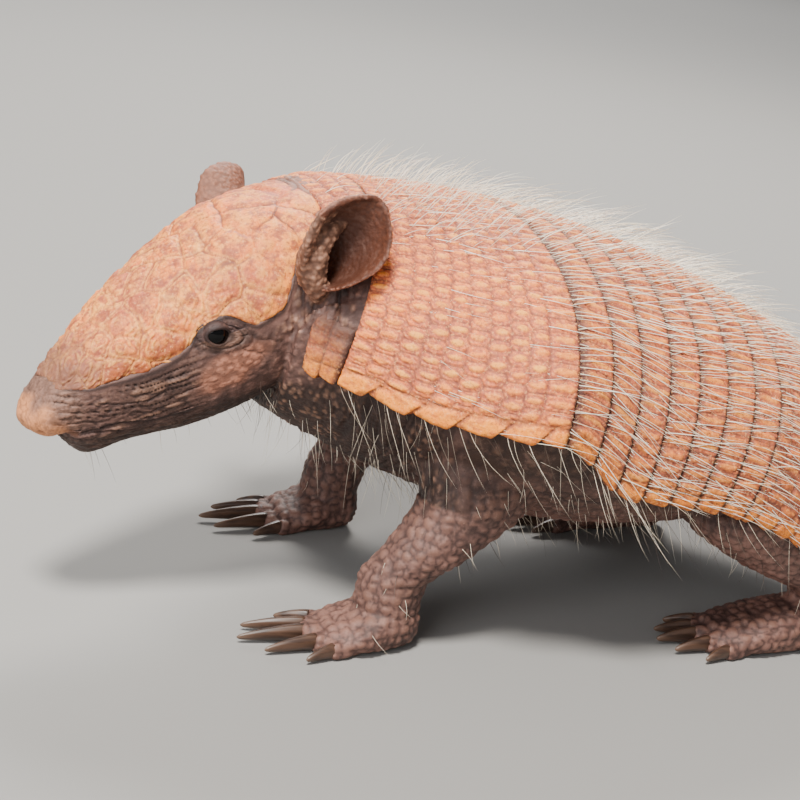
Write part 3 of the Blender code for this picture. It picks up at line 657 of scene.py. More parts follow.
def relaxed(points, mesh, rounds, strength=0.5):
    """Moves each point towards the middle of its neighbours, and back a little, so that nothing shrinks."""
    ends = read(mesh.edges, "vertices", 2, np.int32).reshape(-1, 2)
    both = np.concatenate([ends, ends[:, ::-1]])
    near = np.bincount(both[:, 0], minlength=len(points)).astype(float)[:, None]
    for k in range(rounds * 2):
        total = np.column_stack([np.bincount(both[:, 0], column[both[:, 1]], len(points))
                                 for column in points.T])
        points = points + (total / near - points) * (strength if k % 2 == 0 else -strength * GIVE_BACK)
    return points


skin_mesh = melted(bodies, "REMESH", mode="VOXEL", voxel_size=VOXEL)
points = relaxed(places_of(skin_mesh), skin_mesh, 4)
points[:, 2] = np.maximum(points[:, 2], 0.0)
set_places(skin_mesh, points)
print("one skin of", len(points), "points")

# %% Merge the squares that the armour hides
cover = tree_of(arch(*np.meshgrid(np.linspace(0.012, RUMP_END - 0.008, 90), np.linspace(-0.72, 0.72, 50),
                                  indexing="ij"), SEAT).reshape(-1, 3))
under_armour = np.array([cover.find(p)[2] for p in points]) < HIDDEN
body = shown("skin", skin_mesh)
body.vertex_groups.new(name="hidden").add(np.flatnonzero(under_armour).tolist(), 1.0, "REPLACE")
skin_mesh = melted(body, "DECIMATE", ratio=1 - 0.93 * under_armour.mean(), vertex_group="hidden")
print("after merging:", len(skin_mesh.vertices), "points")

# %% Split the squares of the head finer
def face_middles(points, sides, sizes):
    face = np.repeat(np.arange(len(sizes)), sizes)
    total = np.stack([np.bincount(face, column[sides], len(sizes)) for column in points.T], -1)
    return total / sizes[:, None]


def split_finer(points, sides, sizes, chosen):
    """Cuts each chosen face into squares. sides lists the corners of every face and sizes counts them."""
    starts = np.concatenate([[0], np.cumsum(sizes)[:-1]])
    face = np.repeat(np.arange(len(sizes)), sizes)
    following, before = np.arange(len(sides)) + 1, np.arange(len(sides)) - 1
    following[starts + sizes - 1], before[starts] = starts, starts + sizes - 1
    ends = np.sort(np.stack([sides, sides[following]], -1), axis=1)
    code = ends[:, 0].astype(np.int64) * len(points) + ends[:, 1]
    _, first, edge = np.unique(code, return_index=True, return_inverse=True)
    cut = np.zeros(len(first), bool)
    cut[edge[chosen[face]]] = True
    middle_of = np.cumsum(cut) - 1 + len(points)
    middles = points[ends[first[cut]]].mean(axis=1)
    centre_of = np.cumsum(chosen) - 1 + len(points) + len(middles)
    centres = face_middles(points, sides, sizes)[chosen]
    # A chosen face gives one square for each corner.
    corner = np.flatnonzero(chosen[face])
    squares = np.stack([sides[corner], middle_of[edge[corner]], centre_of[face[corner]],
                        middle_of[edge[before[corner]]]], -1)
    # The others keep their corners, and take up the new points on their sides.
    kept = np.flatnonzero(~chosen[face])
    extra = cut[edge[kept]]
    listed = np.stack([sides[kept], np.where(extra, middle_of[edge[kept]], -1)], -1).ravel()
    size_kept = np.bincount(face[kept], 1 + extra, len(sizes)).astype(int)[~chosen]
    return (np.concatenate([points, middles, centres]),
            np.concatenate([squares.ravel(), listed[listed >= 0]]),
            np.concatenate([np.full(len(squares), 4), size_kept]))


points = places_of(skin_mesh)
sides, sizes = (read(*what, kind=np.int32) for what in ((skin_mesh.loops, "vertex_index"),
                                                        (skin_mesh.polygons, "loop_total")))
middles = face_middles(points, sides, sizes)
ahead, beside, high = to_head(middles).T
# The finer part: the muzzle, the cheeks, the neck as far as the shoulder, and the ears.
fine = (sizes == 4) & (ahead > -0.055) & (middles[:, 0] < SHIFT[0] + 0.040) & (middles[:, 2] > 0.055)
shield_turn = np.arctan2(abs(beside) / 0.9, high + 0.010)
fine &= ~((ahead > 0.004) & (ahead < 0.094) & (shield_turn < shield_edge(ahead) * 0.80)
          & (high < head_top(ahead) + 0.003))
points, sides, sizes = split_finer(points, sides, sizes, fine)
print("after the split:", len(points), "points and", int((sizes - 2).sum()), "triangles")

# %% [markdown]
# ## Folds, scales and lids
# All of the skin's relief is one height for each point, along the direction that points out there.
# Each part of the body adds its own kind. The same masks also paint how deep a point lies in a
# groove, how pale, rosy, tan or dark its skin is, and the materials read them later.

# %% The split round the eyes, and where each point is
LID_X, LID_Z = 0.0494, -0.0050            # the middle of the opening between the lids
LID_COS, LID_SIN = 0.94, 0.34             # how it slants
LID_LENGTH, LID_HEIGHT = 0.0034, 0.0019   # half of each


def eye_frame(seen):
    """Forward along the opening between the lids, and up across it."""
    ahead, high = seen[..., 0] - LID_X, seen[..., 2] - LID_Z
    return ahead * LID_COS + high * LID_SIN, high * LID_COS - ahead * LID_SIN


def round_eye(seen):
    """How far a point of the head is from the middle of an eye's opening: 1 on the rim of the lids."""
    along, upward = eye_frame(seen)
    away = np.sqrt((along / LID_LENGTH) ** 2 + (upward / LID_HEIGHT) ** 2)
    return np.where(abs(seen[..., 1]) > 0.015, away, FAR)


for reach in (2.6, 1.7):
    near = round_eye(to_head(face_middles(points, sides, sizes))) < reach
    points, sides, sizes = split_finer(points, sides, sizes, near & (sizes == 4))
bpy.data.meshes.remove(skin_mesh)
skin_mesh = mesh_of("skin", points, sides, sizes)
out_of_skin = directions_of(skin_mesh)
seen = to_head(points)
hx, hy, hz = seen.T
world_x, world_y, world_z = points.T - SHIFT[:, None]
lift = np.zeros(len(points))
marks = {name: np.zeros(len(points)) for name in ("groove", "pale", "rosy", "tan", "dark")}

ear_tree = tree_of(np.concatenate([grid.reshape(-1, 3) for pair in ear_grids.values() for grid in pair]
                                  + [grid.reshape(-1, 3) for grid in lobe_rings.values()]))
to_ear = np.ones(len(points))
inside_ear, lobe_part = np.zeros((2, len(points)))
grid_size = EAR_ROWS * EAR_COLUMNS
ROLL_COLUMNS, ROLL_ROWS = 19, 34       # the warty front of an ear's grid
for k in np.flatnonzero((hx > -0.060) & (hx < 0.050) & (hz > -0.045) & (abs(hy) > 0.010)):
    _, index, to_ear[k] = ear_tree.find(points[k])
    row_of_ear, column_of_ear = divmod(index % grid_size, EAR_COLUMNS)
    on_roll = column_of_ear < ROLL_COLUMNS and row_of_ear < ROLL_ROWS
    lobe_part[k] = index >= 4 * grid_size or on_roll * (1.0 if hy[k] > 0 else 0.35)
    inside_ear[k] = (index // grid_size) % 2 * (1 - lobe_part[k])
ear = 1 - smooth(0.0012, 0.0024, to_ear)
inside_ear, lobe_part = ear * inside_ear, ear * lobe_part

top, bottom = head_top(hx), head_bottom(hx)
middle = top * MIDDLE + bottom * (1 - MIDDLE)
up_share = np.where(hz > middle, (hz - middle) / (top - middle), (hz - middle) / (middle - bottom))
turn = np.arctan2((abs(hy) / head_half_width(hx)) ** (1 / 0.85),
                  np.sign(up_share) * abs(up_share) ** (1 / 0.9))
head_part = smooth(-0.006, 0.006, hx) * (1 - ear) * (world_z > 0.055)
below_shield = (turn - shield_edge(hx)) * np.where(hx > 0.060, 0.018, 0.028)
bridge = smooth(0.0985, 0.1005, hx)
muzzle = head_part * smooth(0.052, 0.066, hx) * np.maximum(smooth(0.0, 0.002, below_shield), 0.45 * bridge)
below_mouth = mouth_line(np.minimum(hx, 0.1)) - hz
nose = smooth(0.0995, 0.1070, hx - (hz + 0.020) * 0.50 + 0.0030 * soft_noise(seen, 0.0045, 13))
nose *= 1 - smooth(-0.0005, 0.0015, below_mouth)
print("points:", len(points), "on the ears:", int((ear > 0.5).sum()),
      "on the head:", int((head_part > 0.5).sum()))


def where(mask, make):
    """Works something out only for the points that a mask picks, because noise is slow."""
    out = np.zeros(len(points))
    chosen = np.flatnonzero(mask > 0.01)
    if len(chosen):
        out[chosen] = make(chosen)
    return out * mask


def wrinkles(mask, p, size, seed, width):
    """1 in the middle of a wrinkle, 0 between. They run where a stretched noise crosses zero."""
    return where(mask, lambda k: bell(layered(p[k], size, seed, 2), width))


def domes(mask, p, size, seed, jitter=0.8, slope=1.6):
    """1 on top of each grain, and falling towards its border."""
    return where(mask, lambda k: 1 - slope * cells(p[k], size, seed, jitter)[0])


def mark(name, *strengths):
    """Paints masks on the skin. Where they meet, the strongest stays."""
    marks[name] = np.maximum.reduce([marks[name], *strengths])


# %% [markdown]
# The muzzle's side has long level wrinkles, the mouth is a dark crease, and the eye looks out from
# between lids with rings of fine folds. Under the eye lies a rosy patch of small scales.

# %% The face
def level_lines(k):
    """1 on lines that run along the muzzle, bent and broken a little by noise."""
    drift = seen[k] * (0.16, 0.5, 1)
    phase = ((hz[k] + 0.10 * (hx[k] - 0.08) - 0.40 * np.maximum(hx[k] - 0.076, 0)) / 0.0023
             + 0.7 * layered(drift, 0.0060, 11, 2))
    fade = smooth(-0.9, 0.3, soft_noise(drift * (1.6, 1, 1), 0.0040, 16))
    return (1 - smooth(0.0, 0.42, abs(np.sin(pi * phase)))) * fade


long_folds = where(muzzle * (1 - nose) * (1 - smooth(0.0, 0.004, below_mouth - 0.003) * 0.7), level_lines)
fine_folds = wrinkles(head_part * np.maximum(smooth(0.0, 0.003, below_shield), 0.7 * bridge) * (1 - nose)
                      * (0.3 + 0.7 * smooth(0.050, 0.064, hx)), seen * (0.20, 0.7, 1), 0.0012, 17, 0.26)
crests = where(muzzle * (1 - nose),
               lambda k: smooth(0.25, 0.7, soft_noise(seen[k] * (0.11, 0.7, 1), 0.0014, 19)))
lift -= 0.00100 * long_folds + 0.00032 * fine_folds - 0.00028 * crests
lower = head_part * smooth(0.0, 0.004, below_mouth)
mark("groove", long_folds, 0.70 * fine_folds)
# The pale on the crests is a painted highlight.
mark("pale", 0.60 * crests * (1 - long_folds) * (1 - 0.85 * lower))
mark("dark", 0.62 * muzzle * (1 - nose) * (1 - 0.7 * smooth(0.078, 0.096, hx)),
     0.97 * lower * (1 - 0.8 * nose))

lip = abs(hz - mouth_line(hx) + 0.0002 * soft_noise(seen, 0.003, 5))
crease = head_part * bell(lip, 0.00075) * smooth(0.054, 0.064, hx) * (1 - smooth(0.1035, 0.1050, hx))
lift -= 0.0013 * crease * smooth(0.060, 0.095, hx) + 0.0003 * crease
nostril = np.sqrt(((hx - 0.1085) / 1.5) ** 2 + (abs(hy) - 0.0066) ** 2 + (hz + 0.0216) ** 2)
pit = head_part * bell(nostril, 0.0012)
lift -= 0.0015 * pit
mark("groove", crease, pit)

# The cheek's patch.
along, across = hx - 0.0475, hz + 0.0168 + 0.22 * (hx - 0.0475)
patch = head_part * (1 - smooth(0.60, 1.20, np.sqrt((along / 0.0150) ** 2 + (across / 0.0066) ** 2)
                                + 0.22 * layered(seen, 0.006, 3, 2))) * (abs(hy) > 0.012)
mark("rosy", patch)
away = round_eye(seen)
scaly = head_part * smooth(0.001, 0.004, below_shield) * (1 - muzzle * 0.8) * smooth(1.9, 2.4, away)
coarse, small = (domes(scaly, seen * (0.7, 1, 1.1), size, 23) for size in (0.0021, 0.0011))
lift += 0.00022 * coarse
lift += 0.00010 * small
mark("groove", 0.60 * scaly * (1 - smooth(0.1, 0.5, coarse)))

# Lids: the skin hugs the eyeball, and opens over its middle.
for side_sign in (1, -1):
    centre = from_head(np.array(EYE_AT) * (1, side_sign, 1))
    near_eye = np.flatnonzero((away < 3.6) & (np.sign(hy) == side_sign) & (abs(hy) > 0.015))
    here = away[near_eye]
    ray = points[near_eye] - centre
    far = np.linalg.norm(ray, axis=1)
    lid = EYE_RADIUS + 0.00050 + 0.00025 * bell(here - 1.22, 0.16)
    outside = np.maximum(far, lid) * (1 - smooth(2.3, 3.2, here)) + far * smooth(2.3, 3.2, here)
    hollow = EYE_RADIUS - 0.0012
    reach = hollow + (outside - hollow) * smooth(0.93, 1.04, here)
    points[near_eye] = centre + ray / far[:, None] * reach[:, None]
lid_part = (away < 4.4) * head_part
ring_noise = where(lid_part, lambda k: soft_noise(seen[k], 0.0045, 31))
rings = where(lid_part * smooth(1.15, 1.35, away), lambda k: bell(np.sin(
    pi * (away[k] * 1.10 + 0.75 * ring_noise[k])), 0.34) * smooth(-0.7, 0.2, soft_noise(seen[k], 0.0028, 33)))
lift -= 0.00022 * rings * (1 - smooth(3.2, 4.3, away))
outer_fold = lid_part * bell(away + 0.22 * ring_noise - 2.15, 0.13)
second_fold = lid_part * bell(away + 0.30 * ring_noise - 3.05, 0.16) * (hz < -0.004)
lift += 0.00022 * lid_part * bell(away - 1.65, 0.35)
lift -= 0.00042 * outer_fold + 0.00030 * second_fold
along, upward = eye_frame(seen)
feet_part = (head_part * smooth(1.6, 2.2, away) * (1 - smooth(5.0, 7.5, away))
             * smooth(0.0, 0.002, below_shield))
crows_feet = where(feet_part * smooth(0.0, 0.0015, abs(along) - 0.7 * abs(upward)), lambda k: 1 - smooth(
    0.0, 0.38, abs(np.sin(6.5 * np.arctan2(upward[k], abs(along[k]))
                          + 1.1 * soft_noise(seen[k], 0.0035, 37)))))
lift -= 0.00035 * crows_feet
lid_lines = wrinkles(lid_part * smooth(1.1, 1.3, away), seen, 0.0013, 35, 0.22)
lift -= 0.00012 * lid_lines
mark("groove", 0.50 * rings * (1 - smooth(3.0, 4.2, away)), 0.95 * outer_fold, 0.70 * second_fold,
     0.85 * crows_feet, 0.5 * lid_lines * (1 - smooth(3.4, 4.4, away)))
mark("pale", 0.45 * lid_part * (1 - smooth(1.5, 3.4, away)) * (hz < -0.0050))
wet = lid_part * (1 - smooth(1.12, 1.75, away))
marks["groove"] *= 1 - wet
mark("groove", wet * 0.85)
lift *= 1 - lid_part * (1 - smooth(1.0, 1.25, away))

# Where the head's armour lies, the skin is sunk under it, and a thin shadow of the shield's edge is painted
# on the skin.
covered = (head_part * (1 - smooth(-0.0016, -0.0004, below_shield)) * (hx > -0.004)
           * (1 - smooth(0.0990, 0.1002, hx)))
covered *= smooth(2.2, 3.0, away)
lift = lift * (1 - covered) - 0.0020 * covered
nose_grain = domes(nose * head_part, seen, 0.0012, 41, slope=1.5)
nose_lines = wrinkles(np.maximum(nose, 0.9 * bridge) * head_part, seen * (1.3, 1.0, 0.45), 0.0014, 43, 0.24)
lift += 0.00010 * nose_grain - 0.00022 * nose_lines
nose_rim = where(head_part * (hx > 0.085), lambda k: bell(nose[k] - 0.45, 0.22)
                 * smooth(-0.3, 0.3, soft_noise(seen[k], 0.0035, 47)))
# The first of these is a painted shadow: a dark line on the skin along the shield's edge.
mark("groove", 0.92 * head_part * bell(below_shield - 0.0003, 0.0008) * (1 - bridge), 0.45 * nose_lines,
     0.55 * nose_rim)
mark("pale", 0.42 * head_part * smooth(0.092, 0.100, hx) * smooth(-0.026, -0.016, hz) * (1 - nose))

# %% [markdown]
# The neck folds in rings round it, and rows of pale grains lie on the folds. The ears are covered
# with fine grains too. Their front roll is warty, and deep inside they are dark.

# %% Neck and ears
neck_part = (1 - smooth(-0.004, 0.010, hx)) * (world_x < 0.045) * (world_z > 0.052) * (1 - ear)
nape = neck_part * smooth(0.120, 0.130, world_z) * (1 - smooth(0.020, 0.027, abs(world_y)))
behind_eye = head_part * (1 - smooth(0.030, 0.040, hx)) * smooth(0.001, 0.003, below_shield)
neck_folds = np.maximum(neck_part * (1 - 0.6 * nape), behind_eye * (1 - smooth(0.016, 0.030, hx)))
rings_of_neck = wrinkles(neck_folds, np.stack([world_x + 0.10 * abs(world_y), hy * 0.20, world_z * 0.22], -1),
                         0.0046, 51, 0.30)
drift = np.stack([world_x * 0.5, hy * 0.3, world_z * 0.22], -1)
small_rings = where(neck_folds, lambda k: (1 - smooth(0.12, 0.62, abs(np.sin(pi * (
    (world_x[k] + 0.12 * world_z[k]) / 0.0030 + 0.9 * layered(drift[k], 0.0070, 53, 2))))))
    * smooth(-0.8, 0.1, soft_noise(drift[k] * 1.7, 0.0050, 54)))
lift -= 0.00090 * rings_of_neck + 0.00065 * small_rings
grain_part = np.maximum(neck_part, behind_eye)
grain = domes(grain_part, points * (1, 1, 0.6), 0.0024, 55, 0.9, 1.7)
grain_mask = where(grain_part, lambda k: smooth(-0.15, 0.35, soft_noise(points[k], 0.010, 57)))
lift += 0.00060 * np.maximum(grain, 0) * grain_mask
mark("groove", rings_of_neck, 0.92 * small_rings,
     0.5 * grain_part * (1 - smooth(0.0, 0.3, grain)) * (grain_mask > 0.4))
mark("pale", smooth(0.15, 0.6, grain) * grain_mask * 0.8)

coarse, small = (domes(ear, points, size, seed) for size, seed in ((0.0016, 61), (0.0011, 63)))
lift += 0.00026 * coarse
lift += 0.00010 * small
wart = domes(lobe_part, points, 0.0021, 65, slope=1.45)
lift += 0.00060 * np.maximum(wart, 0)
deep = np.maximum.reduce([1 - smooth(0.010, 0.024, np.linalg.norm(points - inner[14, 35], axis=1))
                          for _, inner in ear_grids.values()])
mark("groove", 0.42 * ear * (1 - smooth(0.0, 0.5, coarse)), 0.60 * lobe_part * (1 - smooth(0.05, 0.30, wart)),
     inside_ear * deep * 0.55)
mark("pale", lobe_part * (0.55 + 0.45 * smooth(0.20, 0.55, wart)))
mark("dark", inside_ear * deep * 0.95, 0.44 * neck_part)
mark("rosy", 0.35 * nape, 0.55 * ear * (1 - inside_ear) * (1 - lobe_part))

# %% [markdown]
# The belly has rows of warts with hair. The legs and feet carry flat scales with many corners. The
# scales on top of the toes and on the front of the forearm are the largest.

# %% Belly, legs and tail
WART_ROW, LEG_SCALE = 0.0085, 0.0041
trunk_part = (world_z > 0.030) * (1 - np.clip(head_part + neck_part + ear, 0, 1))
tail_tree = tree_of(tail_path[:, :3])
gap_to_tail, along_tail = np.ones(len(points)), np.zeros(len(points))
for k in np.flatnonzero(world_x > 0.200):
    _, index, distance = tail_tree.find(points[k])
    here, direction, thick = np.split(tail_path[index], (3, 6))
    gap_to_tail[k] = distance - thick[0]
    along_tail[k] = index * TAIL_LENGTH / (len(tail_path) - 1) + (points[k] - here) @ direction
tail_part = (1 - smooth(0.0012, 0.0030, gap_to_tail)) * (world_x > 0.2)

leg_part = (np.clip(1 - tail_part, 0, 1) * (1 - smooth(0.062, 0.074, world_z))
            * smooth(0.024, 0.034, abs(world_y)))
leg_part *= (head_part < 0.5)
front_of_arm = leg_part * (world_x < 0.075) * smooth(-0.2, 0.35, -out_of_skin[:, 0] + 0.4 * out_of_skin[:, 2]
                                                     + 0.3 * abs(out_of_skin[:, 1]))
foot_part = leg_part * (1 - smooth(0.024, 0.034, world_z))
first, border, number = np.zeros((3, len(points)))
chosen = np.flatnonzero(leg_part > 0.01)
first[chosen], border[chosen], number[chosen] = cells(points[chosen] * (1.0, 1.0, 1.15), LEG_SCALE, 71, 0.66)
lift += leg_part * (0.00050 * smooth(0.0, 0.30, border) + 0.00040 * (1 - smooth(0.10, 0.55, first)) - 0.00050)
lift += 0.00012 * domes(leg_part, points, 0.0019, 73)

belly_part = trunk_part * (1 - leg_part) * (world_z < 0.115) * (1 - tail_part)
rows = where(belly_part, lambda k: bell(np.sin(
    pi * (world_x[k] + 0.002 * soft_noise(points[k], 0.02, 81)) / WART_ROW), 0.30))
folds = wrinkles(belly_part, points * (1.0, 0.35, 0.8), 0.0040, 83, 0.25)
wart = np.maximum(0, domes(belly_part, points, 0.0056, 85, 0.7, 2.2))
lift += 0.0006 * wart - 0.00045 * rows - 0.00035 * folds

ROOT_PART, ROOT_RING, TIP_RING = 0.05, 0.0062, 0.0052      # the tail's rings get narrower after its root
ring_place = np.where(along_tail < ROOT_PART, along_tail / ROOT_RING,
                      ROOT_PART / ROOT_RING + (along_tail - ROOT_PART) / TIP_RING)
ring_edge = ring_place - np.floor(ring_place)
ring_gap = bell(np.minimum(ring_edge, 1 - ring_edge), 0.085)
tail_cells = where(tail_part, lambda k: 1 - smooth(0.02, 0.30, cells(np.stack([
    along_tail[k] * 0.92, world_y[k], world_z[k]], -1), 0.0056, 91, 0.35)[1]))
lift += (tail_part * (0.0007 * (1 - ring_gap) * (0.5 + 0.5 * ring_edge) - 0.0003)
         - 0.00030 * tail_cells * (1 - ring_gap))

mark("groove", leg_part * (1 - smooth(0.02, 0.20, border)) * 0.72,
     np.maximum(0.7 * rows, 0.6 * folds) * belly_part,
     tail_part * np.maximum(ring_gap, 0.7 * tail_cells))
mark("tan", leg_part * (0.25 + 0.75 * np.maximum(front_of_arm, foot_part)) * smooth(0.10, 0.45, border)
     * (0.45 + 0.55 * number), tail_part * (0.9 - 0.5 * smooth(0.03, 0.14, along_tail)))
mark("pale", 0.35 * wart * belly_part)
# The belly is painted nearly black: painted shade of the underside.
mark("dark", 0.80 * leg_part * smooth(0.040, 0.070, world_z), 0.96 * belly_part)

# %% [markdown]
# The soles stay flat on the floor, so the relief fades out there.

# %% The finished skin
lift *= smooth(0.0002, 0.0025, points[:, 2])
points = points + out_of_skin * relaxed(lift[:, None], skin_mesh, 1, 0.25)
points[:, 2] = np.where(points[:, 2] < 0.00015, 0.0, points[:, 2])
set_places(skin_mesh, points)
skin = shown("skin", skin_mesh)
paint(skin, **marks, eyelid=lid_part * (1 - smooth(2.6, 4.2, away)), nose=nose * head_part, earskin=ear)
dress(skin, "skin", "head", "jaw", "neck", "trunk", "tail_base", "tail_middle", "tail_tip",
      *[f"{part}_{side}" for part in ("ear", "foreleg", "forearm", "forefoot", "thigh", "shank", "hindfoot")
        for side in ("left", "right")])
print("skin relief from", round(lift.min() * 1000, 2), "to", round(lift.max() * 1000, 2), "mm")

# %% [markdown]
# ## Armour plates
# Each plate is a grid over its stretch of the back. Columns are spaced by the length they really
# have, so that scutes keep an even width round the flanks. The outer face carries the relief, and a
# coarser grid closes the plate underneath.

# %% Plates from grids
def across_grid(points):
    """The direction out of each point of a grid."""
    out = unit(np.cross(np.gradient(points, axis=1), np.gradient(points, axis=0)))
    return -out if out[out.shape[0] // 2, out.shape[1] // 2, 2] < 0 else out


def thick_plate(name, outer, inner, step=4):
    """The outer grid, a coarser inner one, and a rim between them. Also counts the inner points."""
    low = inner[::step, ::step]
    a = numbered(*outer.shape[:2])
    b = numbered(*low.shape[:2], a.size)
    rim, edge = (np.append(line, line[0]) for line in (rim_of(a), rim_of(b)))
    sides = [np.stack([rim[k:-1:step], rim[k + 1::step], edge[1:] if k >= step // 2 else edge[:-1]], -1)
             for k in range(step)]
    sides.append(np.stack([rim[step // 2:-1:step], edge[1:], edge[:-1]], -1))
    faces = np.concatenate([halved(np.concatenate([squares_of(a)[:, ::-1], squares_of(b)])), *sides])
    points = np.concatenate([outer.reshape(-1, 3), low.reshape(-1, 3)])
    a, b, c = (points[faces[:, k]] - points[0] for k in range(3))
    if np.einsum("ij,ij->i", a, np.cross(b, c)).sum() < 0:
        faces = faces[:, ::-1]
    return mesh_object(name, points, faces), low.size // 3


UNEVEN, LONG = 0.14, 1.12       # how far scutes stray from their places, and their length over their width


def scutes(along, across, seed):
    """Scutes in bricked rows: the place inside the nearest one, the way to its border, and its number."""
    row = np.floor(along).astype(np.int64)
    first, second = np.full(along.shape, FAR), np.full(along.shape, FAR)
    name, inside_a, inside_b = np.zeros((3, *along.shape))
    for da in (-1, 0, 1):
        shift = 0.5 * ((row + da) % 2)
        column = np.floor(across - shift).astype(np.int64)
        for db in (-1, 0, 1):
            i, j = row + da, column + db
            own = [hashed(i, j, np.full_like(i, seed + k)) for k in range(3)]
            seat_a = i + 0.5 + UNEVEN * (own[0] - 0.5)
            seat_b = j + 0.5 + shift + UNEVEN * (own[1] - 0.5)
            away = np.sqrt(((along - seat_a) * LONG) ** 2 + (across - seat_b) ** 2)
            nearer = away < first
            second = np.where(nearer, first, np.minimum(second, away))
            inside_a, inside_b, name, first = (np.where(nearer, *pair) for pair in (
                (along - seat_a, inside_a), (across - seat_b, inside_b), (own[2], name), (away, first)))
    return inside_a, inside_b, second - first, name


def oblongs(along, across, seed):
    """One row of long scutes side by side, the same terms as above."""
    column = np.floor(across).astype(np.int64)
    name = hashed(column, np.full_like(column, seed))
    border = 2 * np.minimum(0.5 - abs(across - column - 0.5), np.minimum(along, 1 - along) * 1.9)
    return along - 0.5, across - column - 0.5 - 0.10 * (name - 0.5), border, name


# %% [markdown]
# A scute is low: a soft groove round it, and in its middle a raised oval that points backwards. The
# scutes at the lower edge are longer and hang out a little, which makes the edge scalloped.

# %% The shoulder shield, the bands, the rump and the neck bands
def rolled(distance, radius):
    """How far an edge falls away, like the side of a round rod."""
    t = np.clip(1 - distance / radius, 0, 1)
    return radius * (1 - np.sqrt(np.maximum(1 - t * t, 0)))


armour_rows = {}        # for the bristles: where each plate's outer face is
OVAL_LENGTH, OVAL_WIDTH = 0.37, 0.225       # half the raised oval, as shares of its scute
TILE_LENGTH, TILE_DEPTH = 0.0118, 0.0060    # the scutes along a side edge
BURIED = 0.0042                             # how deep the neck's side bands end in the skin


